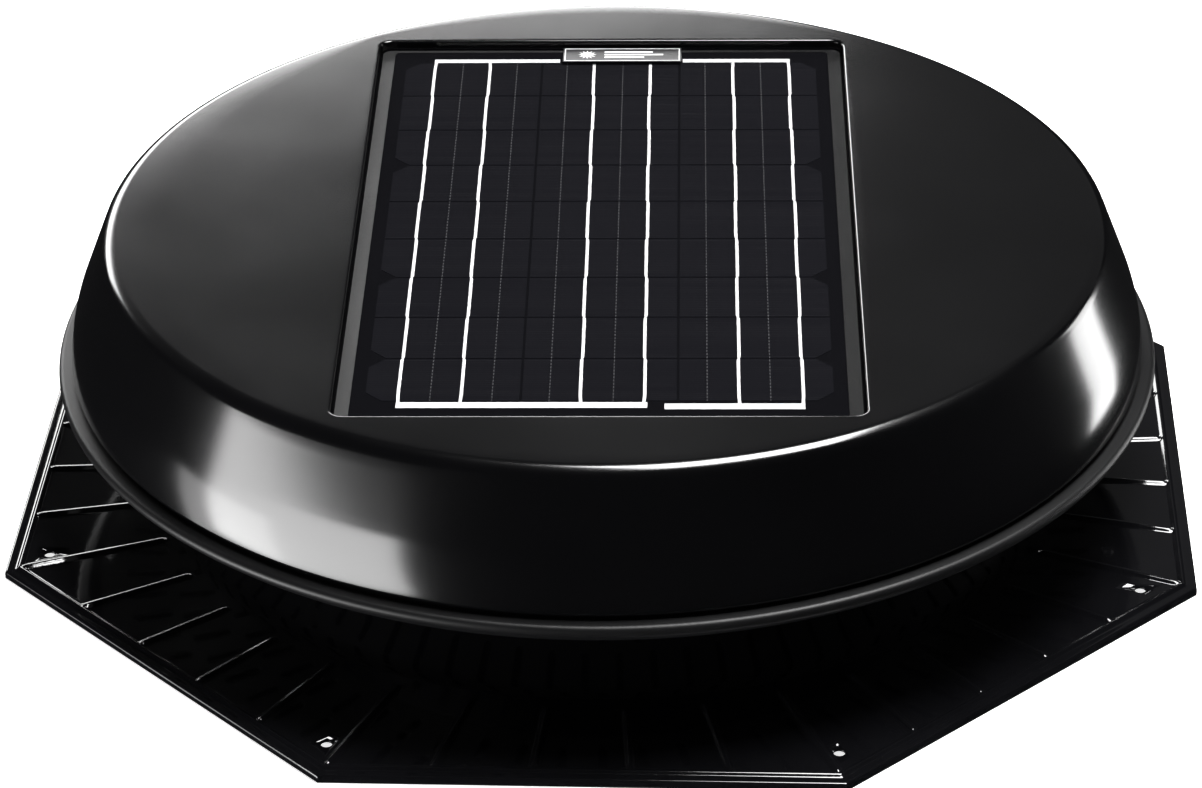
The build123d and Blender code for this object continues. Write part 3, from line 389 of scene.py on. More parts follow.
PLAIN_FINISHES = (
    Finish(
        "flashing_gloss_black", Grain.GLOSS, (0.0025, 0.0025, 0.003), 0.07, pitch=2.5 * MM, relief=0.05 * MM
    ),
    Finish(
        "hood_satin_black", Grain.POWDER, (0.0014, 0.0014, 0.0016), 0.15, pitch=1.1 * MM, relief=0.006 * MM
    ),
    Finish(
        "ring_dark_grey",
        Grain.POWDER,
        (0.0028, 0.0028, 0.0031),
        0.42,
        shine=0.25,
        pitch=0.9 * MM,
        relief=0.02 * MM,
    ),
    Finish("screen_black", Grain.POWDER, (0.012, 0.012, 0.012), 0.5, pitch=1.0 * MM),
    Finish("rubber_black", Grain.MOULDED, (0.012, 0.012, 0.012), 0.75, pitch=1.5 * MM),
    Finish("ribbon_metal", Grain.BRUSHED, (0.90, 0.90, 0.91), 0.45, 0.1, 0.08, pitch=0.8 * MM),
    Finish(
        "backsheet_black",
        Grain.MOULDED,
        (0.0035, 0.0035, 0.0042),
        0.55,
        shine=0.0,
        pitch=0.7 * MM,
        wander=0.12,
    ),
    Finish("label_black", Grain.MOULDED, (0.012, 0.012, 0.013), 0.4, pitch=0.5 * MM),
    Finish("label_ink", Grain.MOULDED, (0.72, 0.72, 0.72), 0.5, pitch=0.5 * MM, wander=0.06),
    Finish("sealant_black", Grain.MOULDED, (0.010, 0.010, 0.010), 0.6, pitch=2.0 * MM),
    Finish("motor_grey", Grain.POWDER, (0.07, 0.07, 0.074), 0.38, 0.2, pitch=1.0 * MM),
    Finish("motor_alloy", Grain.TURNED, (0.50, 0.50, 0.51), 0.34, 1.0, 0.12, pitch=0.8 * MM),
    Finish("lamination_steel", Grain.WOUND, (0.26, 0.26, 0.27), 0.4, 1.0, 0.15, pitch=0.5 * MM),
    Finish("copper_wire", Grain.WOUND, (0.60, 0.24, 0.10), 0.28, 1.0, 0.2, pitch=0.9 * MM, relief=0.2 * MM),
    Finish("magnet", Grain.MOULDED, (0.05, 0.05, 0.052), 0.35, 0.8, pitch=0.8 * MM),
    Finish("circuit_board", Grain.MOULDED, (0.015, 0.10, 0.04), 0.3, pitch=1.0 * MM),
    Finish(
        "bearing_steel", Grain.TURNED, (0.60, 0.60, 0.62), 0.14, 1.0, 0.05, pitch=0.5 * MM, relief=0.002 * MM
    ),
    Finish("hub_alloy", Grain.TURNED, (0.55, 0.55, 0.56), 0.33, 1.0, 0.1, pitch=0.7 * MM),
    Finish("galvanised", Grain.SPANGLE, (0.42, 0.43, 0.44), 0.36, 1.0, 0.22, pitch=1.2 * MM),
    Finish("rivet_alloy", Grain.BRUSHED, (0.52, 0.52, 0.53), 0.35, 1.0, 0.1, pitch=0.6 * MM),
    Finish("zinc_screw", Grain.TURNED, (0.50, 0.50, 0.50), 0.3, 1.0, 0.1, pitch=0.5 * MM),
    Finish("box_plastic", Grain.MOULDED, (0.014, 0.014, 0.014), 0.45, pitch=0.9 * MM),
    Finish("gland_plastic", Grain.MOULDED, (0.018, 0.018, 0.018), 0.4, pitch=0.8 * MM),
    Finish("cable_jacket", Grain.MOULDED, (0.015, 0.015, 0.015), 0.45, pitch=1.4 * MM),
    Finish("blade_aluminium", Grain.BRUSHED, (0.55, 0.56, 0.57), 0.32, 1.0, 0.12, pitch=1.0 * MM),
)


class Paintshop:
    """Makes every finish once and puts it on carried-over nodes and new pieces."""

    def __init__(self) -> None:
        """Builds all the materials."""
        recipes = (*PLAIN_FINISHES, CellFinish(), GlassFinish())
        self.materials = {recipe.name: recipe.make() for recipe in recipes}

    def coat(self, piece: bpy.types.Object, *names: str) -> None:
        """Gives a piece its finishes, in the order of its material slots."""
        piece.data.materials.clear()
        for name in names:
            piece.data.materials.append(self.materials[name])

    def coat_frame(self) -> None:
        """Gives every carried-over node the finish its record slot names."""
        for part in frame["record"]["subparts"]:
            node = frame["nodes"][part["node"]]
            self.coat(node, part["material_slot"])
            LOG.info("node %s: %s", part["node"], part["material_slot"])


# ---------------------------------------------------------------- mesh making


def rounded_path(corners: list[tuple[float, float]], radii: list[float], steps: int = 10) -> np.ndarray:
    """Runs joined by arcs: each inner corner becomes an arc of its radius, tangent to both runs.

    The arc's ends lie radius * tan(turn / 2) from the corner, and its points are the centre plus the
    radius along directions swept evenly from one run's normal to the other's.

    Args:
        corners: The path's corner points.
        radii: One radius for each inner corner.
        steps: Points on each arc.

    Returns:
        The path's points, one row each.
    """
    points = np.asarray(corners, float)
    rows = [points[:1]]
    for before, here, after, radius in zip(points, points[1:], points[2:], radii):
        arriving = (here - before) / np.linalg.norm(here - before)
        leaving = (after - here) / np.linalg.norm(after - here)
        side = np.sign(arriving[0] * leaving[1] - arriving[1] * leaving[0])
        turn = np.arccos(np.clip(arriving @ leaving, -1, 1))
        start = here - arriving * radius * np.tan(turn / 2)
        inward = side * np.array([-arriving[1], arriving[0]])
        centre = start + inward * radius
        sweep = side * np.linspace(0, turn, steps)
        spoke = -inward
        across = spoke[0] * np.cos(sweep) - spoke[1] * np.sin(sweep)
        along = spoke[0] * np.sin(sweep) + spoke[1] * np.cos(sweep)
        rows.append(centre + radius * np.stack([across, along], axis=-1))
    rows.append(points[-1:])
    return np.concatenate(rows)


def refine(path: np.ndarray, longest: float) -> np.ndarray:
    """Divides each run of a path so that none is longer than the limit."""
    gaps = np.linalg.norm(np.diff(path, axis=0), axis=1)
    rows = [
        np.linspace(a, b, max(1, int(np.ceil(gap / longest))), endpoint=False)
        for a, b, gap in zip(path, path[1:], gaps)
    ]
    return np.concatenate([*rows, path[-1:]])


def offset_path(path: np.ndarray, distance: float) -> np.ndarray:
    """Moves each point of a path sideways, to the left of its direction, by the mean of its runs' normals."""
    run = np.diff(path, axis=0)
    run = run / np.linalg.norm(run, axis=1, keepdims=True)
    along = np.concatenate([run[:1], run[:-1] + run[1:], run[-1:]])
    along = along / np.linalg.norm(along, axis=1, keepdims=True)
    return path + distance * np.stack([-along[:, 1], along[:, 0]], axis=-1)


def sheet_section(
    corners: list[tuple[float, float]], radii: list[float], thickness: float, longest: float = 12.0
) -> np.ndarray:
    """The closed outline of bent sheet seen edge on: one side of its centreline, then the other side back."""
    path = refine(rounded_path(corners, radii), longest)
    return np.concatenate([offset_path(path, thickness / 2), offset_path(path, -thickness / 2)[::-1]])


def mesh_piece(
    name: str, points: np.ndarray, faces: np.ndarray | list, sharp: float = 38.0
) -> bpy.types.Object:
    """Makes a piece from points in millimetres, with smooth faces, sharp creases and faces outwards.

    Args:
        name: The piece's name.
        points: One row for each point.
        faces: One row of point numbers for each face.
        sharp: Creases over this angle in degrees stay sharp.

    Returns:
        The new object, at the origin.
    """
    faces = [list(map(int, face)) for face in faces]
    triangles = np.array([(face[0], face[i], face[i + 1]) for face in faces for i in range(1, len(face) - 1)])
    a, b, c = (points[triangles[:, k]] for k in range(3))
    if np.einsum("ij,ij->i", a, np.cross(b, c)).sum() < 0:
        faces = [face[::-1] for face in faces]
    mesh = bpy.data.meshes.new(name)
    mesh.from_pydata((points * MM).tolist(), [], faces)
    mesh.polygons.foreach_set("use_smooth", np.ones(len(mesh.polygons), bool))
    mesh.set_sharp_from_angle(angle=radians(sharp))
    mesh.update()
    piece = bpy.data.objects.new(name, mesh)
    bpy.context.scene.collection.objects.link(piece)
    return piece


def grid_faces(rows: int, columns: int, close_rows: bool, close_columns: bool) -> np.ndarray:
    """The four corner numbers of each face of a grid of points, wrapped where it closes on itself."""
    row = np.arange(rows if close_rows else rows - 1)[:, None]
    column = np.arange(columns if close_columns else columns - 1)[None, :]
    next_row, next_column = (row + 1) % rows, (column + 1) % columns
    corners = [row * columns + column, next_row * columns + column]
    corners += [next_row * columns + next_column, row * columns + next_column]
    return np.stack([np.broadcast_to(c, (row.size, column.size)) for c in corners], axis=-1).reshape(-1, 4)


def turned_piece(name: str, section: np.ndarray, segments: int = 360) -> bpy.types.Object:
    """A closed section carried round the axis: x = r cos t, y = r sin t, z = z."""
    around = np.linspace(0, 2 * pi, segments, endpoint=False)
    radius, height = section[:, :1], section[:, 1:]
    grid = np.stack([radius * np.cos(around), radius * np.sin(around), height + 0 * around], axis=-1)
    return mesh_piece(name, grid.reshape(-1, 3), grid_faces(len(section), segments, True, True))


def settle(piece: bpy.types.Object, body: str, slot: str, *nodes: str) -> None:
    """Puts a piece on its body and lets it stand for CAD nodes."""
    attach(piece, body)
    if nodes:
        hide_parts(*nodes)
    LOG.info("piece %s: %d faces on %s", piece.name, len(piece.data.polygons), body)


# ---------------------------------------------------------------- the fan's sub-assemblies


@dataclass
class Hood:
    """The spun upper shell with the pressed recess for the panel."""

    top: float = 155.6
    sheet: float = 1.5
    shoulder_r: float = 269.5
    wall_point: tuple[float, float] = (289.6, 103.5)
    rim_r: float = 291.3
    rim_z: float = 83.0
    flange_r: float = 270.0
    recess: tuple[float, float] = (268.8, 434.6)
    recess_corner: float = 7.0
    recess_floor: float = 148.1
    rim_roll: float = 1.6
    foot_roll: float = 1.5
    segments: int = 360
    corner_segments: int = 22

    def angles(self) -> np.ndarray:
        """Angles round the axis, even, with more of them through the recess's four corners."""
        even = np.linspace(-pi, pi, self.segments, endpoint=False)
        half_x, half_y = self.recess[0] / 2, self.recess[1] / 2
        corner = np.arctan2(half_y, half_x)
        spread = 2.4 * self.recess_corner / np.hypot(half_x, half_y)
        local = np.linspace(-spread, spread, self.corner_segments)
        middles = np.array([corner, pi - corner, corner - pi, -corner])
        return np.unique(np.round(np.concatenate([even, (middles[:, None] + local).ravel()]), 6))

    def rectangle(self, around: np.ndarray, outwards: float) -> np.ndarray:
        """Distance from the axis to the recess's outline, moved outwards, along each angle.

        A straight side is met at half its width over the direction's cosine or sine; within a corner's
        square the distance is the far root of the quadratic for the corner's circle.

        Args:
            around: Angles in radians.
            outwards: How far the outline is moved, in millimetres.

        Returns:
            One distance for each angle.
        """
        half = np.array(self.recess) / 2 + outwards
        corner = self.recess_corner + outwards
        direction = np.abs(np.stack([np.cos(around), np.sin(around)], axis=-1))
        reach = np.min(half / np.maximum(direction, 1e-9), axis=-1)
        hit = direction * reach[:, None]
        middle = half - corner
        in_corner = np.all(hit > middle, axis=-1)
        along = direction @ middle
        under_root = np.maximum(along**2 - middle @ middle + corner**2, 0)
        return np.where(in_corner, along + np.sqrt(under_root), reach)

    def make(self, shop: Paintshop) -> None:
        """Builds the shell as one skin, from the recess floor out to the rim and back inside."""
        around = self.angles()
        spun = refine(
            rounded_path(
                [
                    (240.0, self.top - self.sheet / 2),
                    (self.shoulder_r, self.top - self.sheet / 2),
                    self.wall_point,
                    (self.rim_r, self.rim_z + self.sheet / 2),
                    (self.flange_r, self.rim_z + self.sheet / 2),
                ],
                [8.5, 100.0, 2.2],
                14,
            ),
            6.0,
        )
        spun = spun[spun[:, 0] > 263.0]
        outer, inner = offset_path(spun, self.sheet / 2), offset_path(spun, -self.sheet / 2)[::-1]
        outer[0, 1], inner[-1, 1] = self.top, self.top - self.sheet
        radii, heights = [], []

        def station(radius: np.ndarray, height: float) -> None:
            """Adds one loop of the skin at a height."""
            radii.append(np.broadcast_to(radius, around.shape))
            heights.append(height)

        foot = self.foot_roll
        for swing in np.linspace(0, pi / 2, 5):
            height = self.recess_floor + foot - foot * cos(swing)
            station(self.rectangle(around, -foot + foot * sin(swing)), height)
        roll = self.rim_roll
        for swing in np.linspace(0, pi / 2, 7):
            station(self.rectangle(around, roll - roll * cos(swing)), self.top - roll + roll * sin(swing))
        rim = self.rectangle(around, roll)
        for share in (0.04, 0.2, 0.5, 0.8):
            station(rim + (outer[0, 0] - rim) * share, self.top)
        for radius, height in np.concatenate([outer, inner]):
            station(radius, height)
        under = self.rectangle(around, self.sheet + 2.0)
        for share in (0.5, 1.0):
            station(inner[-1, 0] + (under - inner[-1, 0]) * share, self.top - self.sheet)
        station(self.rectangle(around, self.sheet), self.top - self.sheet - 2.0)
        station(self.rectangle(around, self.sheet), self.recess_floor - self.sheet + 1.0)
        station(self.rectangle(around, self.sheet - 1.0), self.recess_floor - self.sheet)
        radius, height = np.array(radii), np.array(heights)[:, None] + 0 * around
        turned = around + HEAD_TURN
        grid = np.stack([radius * np.cos(turned), radius * np.sin(turned), height], axis=-1).reshape(-1, 3)
        rows, columns = radius.shape
        hubs = np.array([[0, 0, heights[0]], [0, 0, heights[-1]]])
        ring = np.arange(columns)
        following = (ring + 1) % columns
        last = (rows - 1) * columns
        floor_cap = np.stack([ring, following, np.full(columns, rows * columns)], axis=-1)
        under_cap = np.stack([last + following, last + ring, np.full(columns, rows * columns + 1)], axis=-1)
        faces = [*grid_faces(rows, columns, False, True), *floor_cap, *under_cap]
        piece = mesh_piece("hood_shell", np.concatenate([grid, hubs]), faces)
        shop.coat(piece, "hood_satin_black")
        settle(piece, HOUSING, "hood_satin_black", "hood")


@dataclass
class LowerRing:
    """The rounded lip under the hood, and the gasket between them."""

    top: float = 81.7
    outer_r: float = 299.3
    flange_r: float = 268.0
    return_r: float = 276.0
    bottom: float = 70.0
    shoulder_z: float = 77.0
    bend_r: float = 291.5
    sheet: float = 1.2
    gasket: tuple[float, float] = (273.0, 288.0)
    gasket_top: float = 83.0

    def make(self, shop: Paintshop) -> None:
        """Builds the ring and the gasket by carrying their sections round the axis."""
        half = self.sheet / 2
        section = sheet_section(
            [
                (self.flange_r, self.top - half),
                (self.outer_r - half, self.top - half),
                (self.outer_r - half, self.shoulder_z),
                (self.bend_r, self.bottom + half),
                (self.return_r, self.bottom + half),
            ],
            [2.5, 3.5, 5.0],
            self.sheet,
        )
        ring = turned_piece("lower_ring_lip", section)
        shop.coat(ring, "ring_dark_grey")
        settle(ring, HOUSING, "ring_dark_grey", "lower_ring")
        inner, outer = self.gasket
        bulge = 0.25
        middle = (self.top + self.gasket_top) / 2
        outline = [(inner, self.top), (outer - bulge, self.top), (outer, middle)]
        outline.append((outer - bulge, self.gasket_top))
        outline += [(inner, self.gasket_top), (inner - bulge + 0.3, middle)]
        gasket = turned_piece("gasket_strip", np.array(outline))
        shop.coat(gasket, "rubber_black")
        settle(gasket, HOUSING, "rubber_black", "hood_gasket")


@dataclass
class Flashing:
    """The octagonal pressed sheet with its ribs, edge bead, hem, screw holes and neck."""

    apothem: float = 317.5
    plate_top: float = 4.5
    sheet: float = 1.2
    hem: float = 12.0
    foot_r: float = 250.0
    neck_r: float = 184.0
    neck_top: float = 92.0
    neck_flange_r: float = 206.0
    bead_inset: float = 7.5
    bead_half: float = 2.3
    bead_height: float = 1.3
    rib_count: int = 40
    rib_start_r: float = 254.0
    rib_half: float = 3.0
    rib_height: float = 1.6
    hole_r: float = 3.0
    hole_circle_r: float = 317.0
    hole_angles: tuple[float, ...] = (-69.0, -24.1, 23.8, 65.0)
    rib_offsets: tuple[float, ...] = (0.0, 0.7, 1.3, 1.9, 2.5, 3.1, 4.0)
    edge_steps: tuple[float, ...] = (14.0, 11.2, 10.0, 9.2, 8.5, 7.8, 7.2, 6.5, 5.8, 5.0, 3.6, 2.4)

    def sector_offsets(self) -> np.ndarray:
        """Sideways offsets across one rib's sector, as (millimetres, share of the sector's half) pairs."""
        near = [(offset, 0.0) for offset in self.rib_offsets]
        far = [(4.0, 0.34), (4.0, 0.67)]
        right = near + far
        left = [(-offset, -share) for offset, share in right[:0:-1]]
        return np.array([(-4.0, -1.0), *left, *right])

    def height(self, x: np.ndarray, y: np.ndarray) -> np.ndarray:
        """How far the pressed sheet stands over the plate at each point.

        A bead follows the octagon at a fixed distance from its edge, and each rib is a rounded ridge
        along a radius; both are a raised cosine across their width, and the larger of the two counts.

        Args:
            x: Points' x in millimetres.
            y: Points' y in millimetres.

        Returns:
            Heights in millimetres.
        """
        flats = np.arange(8) * pi / 4
        edge = self.apothem - np.max(x[..., None] * np.cos(flats) + y[..., None] * np.sin(flats), axis=-1)
        from_bead = np.clip(np.abs(edge - self.bead_inset) / self.bead_half, 0, 1)
        bead = self.bead_height * (0.5 + 0.5 * np.cos(pi * from_bead))
        pitch = 2 * pi / self.rib_count
        radius, angle = np.hypot(x, y), np.arctan2(y, x)
        from_rib = (np.mod(angle, pitch) - pitch / 2) * radius
        start = np.clip((self.rib_start_r + self.rib_half - radius) / self.rib_half, 0, None)
        across = np.clip(np.hypot(from_rib / self.rib_half, start), 0, 1)
        fade = np.clip((edge - self.bead_inset) / 3.0, 0, 1)
        rib = self.rib_height * (0.5 + 0.5 * np.cos(pi * across)) * fade
        return np.maximum(bead, rib)

    def sheet_grid(self) -> tuple[np.ndarray, np.ndarray]:
        """Points of the plate's upper side: loops from the neck's foot to the octagon's edge.

        Returns:
            x and y of each point, one row for each loop.
        """
        pitch = 2 * pi / self.rib_count
        ribs = (np.arange(self.rib_count) + 0.5) * pitch
        offsets = self.sector_offsets()
        inner = np.array([250.5, 252.6, 254.0, 255.2, 256.4, 257.6, 260.0, 268.0, 278.0, 290.0])
        base = ribs[:, None] + offsets[None, :, 0] / 290.0
        base = np.where(offsets[None, :, 1] == -1.0, ribs[:, None] - pitch / 2, base)
        xs, ys = [], []
        for index in range(len(inner) + len(self.edge_steps)):
            angle = base
            for _ in range(3):
                off_flat = np.mod(angle + pi / 8, pi / 4) - pi / 8
                if index < len(inner):
                    outermost = (self.apothem - self.edge_steps[0]) / np.cos(off_flat)
                    share = (inner[index] - 250.0) / (self.apothem - self.edge_steps[0] - 250.0)
                    radius = 250.0 + share * (outermost - 250.0)
                    radius = np.where(inner[index] < 261.0, inner[index], radius)
                else:
                    radius = (self.apothem - self.edge_steps[index - len(inner)]) / np.cos(off_flat)
                half_sector = radius * pitch / 2 - 4.0
                sideways = offsets[:, 0] + offsets[:, 1] * half_sector
                angle = ribs[:, None] + sideways / radius
            xs.append((radius * np.cos(angle)).ravel())
            ys.append((radius * np.sin(angle)).ravel())
        return np.array(xs), np.array(ys)

    def make(self, shop: Paintshop) -> None:
        """Builds the sheet as one skin round its section: neck, plate, edge, hem and back underneath."""
        x, y = self.sheet_grid()
        angle = np.arctan2(y, x)
        rise = self.height(x, y)
        columns = x.shape[1]
        flats = np.arange(8) * pi / 4
        outermost = angle[-1]
        stretch = 1 / np.max(np.cos(outermost[:, None] - flats), axis=-1)
        neck = refine(
            rounded_path(
                [
                    (self.foot_r + 0.5, self.plate_top - self.sheet / 2),
                    (self.foot_r - 8, self.plate_top - self.sheet / 2),
                    (self.neck_r + self.sheet / 2, 36.0),
                    (self.neck_r + self.sheet / 2, self.neck_top - self.sheet / 2),
                    (self.neck_flange_r, self.neck_top - self.sheet / 2),
                ],
                [24.0, 16.0, 6.0],
            ),
            10.0,
        )
        outside, inside = offset_path(neck, -self.sheet / 2), offset_path(neck, self.sheet / 2)
        loops = []

        def circle(radius: float, height: float) -> None:
            """Adds a round loop."""
            x, y = radius * np.cos(angle[0]), radius * np.sin(angle[0])
            loops.append(np.stack([x, y, 0 * angle[0] + height], -1))

        def edge(inset: float, height: float) -> None:
            """Adds an octagonal loop set in from the edge."""
            radius = (self.apothem - inset) * stretch
            x, y = radius * np.cos(outermost), radius * np.sin(outermost)
            loops.append(np.stack([x, y, 0 * radius + height], -1))

        for radius, height in outside[:0:-1]:
            circle(radius, height)
        for row in range(len(x)):
            loops.append(np.stack([x[row], y[row], self.plate_top + rise[row]], axis=-1))
        hem = self.hem
        rolled_edge = ((1.2, 4.5), (0.55, 4.35), (0.15, 3.95), (0.0, 3.3))
        turned_down = ((0.0, 0.6), (0.15, 0.15), (0.5, 0.0))
        turned_in = ((hem - 0.4, 0.0), (hem, 0.5), (hem - 0.4, 1.2), (1.2, 1.2), (1.2, 3.3))
        for inset, height in (*rolled_edge, *turned_down, *turned_in):
            edge(inset, height)
        for row in range(len(x) - 1, -1, -1):
            loops.append(np.stack([x[row], y[row], self.plate_top - self.sheet + rise[row] * 0.9], axis=-1))
        for radius, height in inside[1:]:
            circle(radius, height)
        grid = np.array(loops).reshape(-1, 3)
        piece = mesh_piece("flashing_sheet", grid, grid_faces(len(loops), columns, True, True), 50.0)
        self.pierce(piece)
        shop.coat(piece, "flashing_gloss_black")
        settle(piece, HOUSING, "flashing_gloss_black", "flashing")

    def pierce(self, piece: bpy.types.Object) -> None:
        """Cuts the eight round screw holes through the plate."""
        sides = 28
        around = np.linspace(0, 2 * pi, sides, endpoint=False)
        points, faces = [], []
        for turn in (0, 180):
            for place in self.hole_angles:
                angle = radians(place - 90 + turn)
                centre = self.hole_circle_r * np.array([cos(angle), sin(angle)])
                ring = centre + self.hole_r * np.stack([np.cos(around), np.sin(around)], axis=-1)
                start = len(points) * sides
                points += [np.c_[ring, np.full(sides, height)] for height in (2.2, 8.0)]
                for k in range(sides):
                    n = (k + 1) % sides
                    faces.append([start + k, start + n, start + sides + n, start + sides + k])
                faces.append(list(range(start, start + sides))[::-1])
                faces.append(list(range(start + sides, start + 2 * sides)))
        cutter = mesh_piece("hole_cutter", np.concatenate(points), faces)
        modifier = piece.modifiers.new("holes", "BOOLEAN")
        modifier.object, modifier.operation, modifier.solver = cutter, "DIFFERENCE", "EXACT"
        graph = bpy.context.evaluated_depsgraph_get()
        pierced = bpy.data.meshes.new_from_object(piece.evaluated_get(graph))
        piece.modifiers.clear()
        piece.data = pierced
        bpy.data.objects.remove(cutter)


@dataclass
class Panel:
    """Conductors and label of the laminate; its cells, backsheet and glass are carried over."""

    ribbon_xs: tuple[float, ...] = (-101.5, -70.0, -9.4, 22.7, 70.7, 102.8)
    ribbon_half: float = 0.85
    cell_top: float = 149.85
    glass_top: float = 152.1
    cell_pitch: float = 43.7
    field_centre_y: float = 3.2
    rows: int = 9
    bus_y: tuple[float, float, float] = (202.2, -197.3, -198.7)
    middle_ribbon_top: float = 198.0
    plate_height: float = 0.14
    ink_height: float = 0.05
    label_size: tuple[float, float] = (68.6, 17.9)
    label_at: tuple[float, float] = (6.5, 205.5)
    jog: float = 0.22

    def turned(self, points: np.ndarray) -> np.ndarray:
        """Returns points turned from the head's frame to the row's."""
        x, y, z = points[..., 0], points[..., 1], points[..., 2]
        return np.stack(
            [x * cos(HEAD_TURN) - y * sin(HEAD_TURN), x * sin(HEAD_TURN) + y * cos(HEAD_TURN), z], axis=-1
        )

    def ribbons(self, shop: Paintshop) -> None:
        """Builds the six soldered ribbons: low domed strips that nip in and step aside at each joint."""
        field_top = self.field_centre_y + self.rows * self.cell_pitch / 2
        joints = field_top - self.cell_pitch * np.arange(1, self.rows)
        near = np.concatenate([joints + d for d in (-2.2, -1.2, -0.5, 0.0, 0.5, 1.2, 2.2)])
        across = np.linspace(0, pi, 7)
        points, faces = [], []
        for number, centre in enumerate(self.ribbon_xs):
            top = self.middle_ribbon_top if number in (2, 3) else self.bus_y[0]
            bottom = self.bus_y[1] if number < 4 else self.bus_y[2]
            along = np.sort(np.concatenate([near, np.linspace(bottom, top, 40)]))
            row = np.floor((field_top - along) / self.cell_pitch)
            nearest = np.min(np.abs(along[:, None] - joints), axis=1)
            nip = 1 - 0.42 * np.exp(-((nearest / 0.8) ** 2))
            side = np.where(np.mod(row + number, 2) > 0.5, 1.0, -1.0)
            step = self.jog * side * np.clip(nearest / 2.0, 0, 1)
            dip = 0.11 * np.exp(-((nearest / 0.7) ** 2))
            x = (centre + step)[:, None] - (self.ribbon_half * nip)[:, None] * np.cos(across)
            z = self.cell_top + 0.02 + (0.17 - dip)[:, None] * np.sqrt(np.sin(across))
            grid = np.stack([x, np.broadcast_to(along[:, None], x.shape), z], axis=-1)
            start = sum(len(block) for block in points)
            strip = grid_faces(len(along), len(across), False, True) + start
            points.append(grid.reshape(-1, 3))
            faces += [list(face) for face in strip]
            last = start + (len(along) - 1) * len(across)
            faces.append([start + k for k in range(len(across))][::-1])
            faces.append([last + k for k in range(len(across))])
        piece = mesh_piece("soldered_ribbons", self.turned(np.concatenate(points)), faces)
        shop.coat(piece, "ribbon_metal")
        settle(piece, HOUSING, "ribbon_metal", "cell_ribbons")

    def label(self, shop: Paintshop) -> None:
        """Builds the generic label: a dark plate, a thin frame, a sun with rays and three plain bars."""
        width, depth = self.label_size
        middle_x, middle_y = self.label_at
        low, top = self.glass_top, self.glass_top + self.plate_height
        points, faces, inks = [], [], []

        def block(x0: float, x1: float, y0: float, y1: float, z0: float, z1: float, ink: int) -> None:
            """Adds a flat box with a mark number."""
            start = len(points)
            points.extend((x, y, z) for z in (z0, z1) for x, y in ((x0, y0), (x1, y0), (x1, y1), (x0, y1)))
            order = [[3, 2, 1, 0], [4, 5, 6, 7]]
            order += [[k, (k + 1) % 4, 4 + (k + 1) % 4, 4 + k] for k in range(4)]
            faces.extend([start + k for k in face] for face in order)
            inks.extend([ink] * 6)

        def star(cx: float, cy: float, inner: float, outer: float, tips: int) -> None:
            """Adds a flat star whose points alternate between two radii."""
            start = len(points)
            for z in (top, top + self.ink_height):
                for k in range(2 * tips):
                    reach = outer if k % 2 == 0 else inner
                    points.append((cx + reach * cos(pi * k / tips), cy + reach * sin(pi * k / tips), z))
            count = 2 * tips
            for k in range(count):
                n = (k + 1) % count
                faces.append([start + k, start + n, start + count + n, start + count + k])
            faces.append([start + k for k in range(count)][::-1])
            faces.append([start + count + k for k in range(count)])
            inks.extend([1] * (count + 2))

        x0, x1 = middle_x - width / 2, middle_x + width / 2
        y0, y1 = middle_y - depth / 2, middle_y + depth / 2
        block(x0, x1, y0, y1, low, top, 0)
        line = 0.55
        inset = 0.9
        for box in (
            (x0 + inset, x1 - inset, y0 + inset, y0 + inset + line),
            (x0 + inset, x1 - inset, y1 - inset - line, y1 - inset),
            (x0 + inset, x0 + inset + line, y0 + inset + line, y1 - inset - line),
            (x1 - inset - line, x1 - inset, y0 + inset + line, y1 - inset - line),
        ):
            block(*box, top, top + self.ink_height, 1)
        star(x0 + 14.0, middle_y, 2.6, 5.4, 12)
        for bar_y, bar_end in ((3.4, 20.0), (0.0, 26.0), (-3.4, 15.0)):
            y = middle_y + bar_y
            block(x0 + 24.0, x0 + 32.0 + bar_end, y - 0.8, y + 0.8, top, top + self.ink_height, 1)
        piece = mesh_piece("generic_label", self.turned(np.array(points, float)), faces, 20.0)
        shop.coat(piece, "label_black", "label_ink")
        piece.data.polygons.foreach_set("material_index", np.array(inks, np.int32))
        settle(piece, HOUSING, "label_black", "panel_label")

    def make(self, shop: Paintshop) -> None:
        """Builds the ribbons and the label."""
        self.ribbons(shop)
        self.label(shop)


# ---------------------------------------------------------------- studio


@dataclass
class Softbox:
    """One soft light, placed by its direction from the object and aimed at it."""

    name: str
    azimuth: float
    elevation: float
    width: float
    height: float
    radiance: float
    distance: float = 2.4

    def make(self) -> None:
        """Adds the light; its power is its radiance times pi times its area."""
        data = bpy.data.lights.new(self.name, "AREA")
        data.shape = "RECTANGLE"
        data.size, data.size_y = self.width, self.height
        data.energy = self.radiance * pi * self.width * self.height
        light = bpy.data.objects.new(self.name, data)
        turn, rise = radians(self.azimuth), radians(self.elevation)
        away = Vector((cos(turn) * cos(rise), sin(turn) * cos(rise), sin(rise)))
        light.location = away * self.distance + Vector((0, 0, 0.1))
        light.rotation_mode = "QUATERNION"
        light.rotation_quaternion = away.to_track_quat("Z", "Y")
        light.visible_camera = False
        bpy.context.scene.collection.objects.link(light)


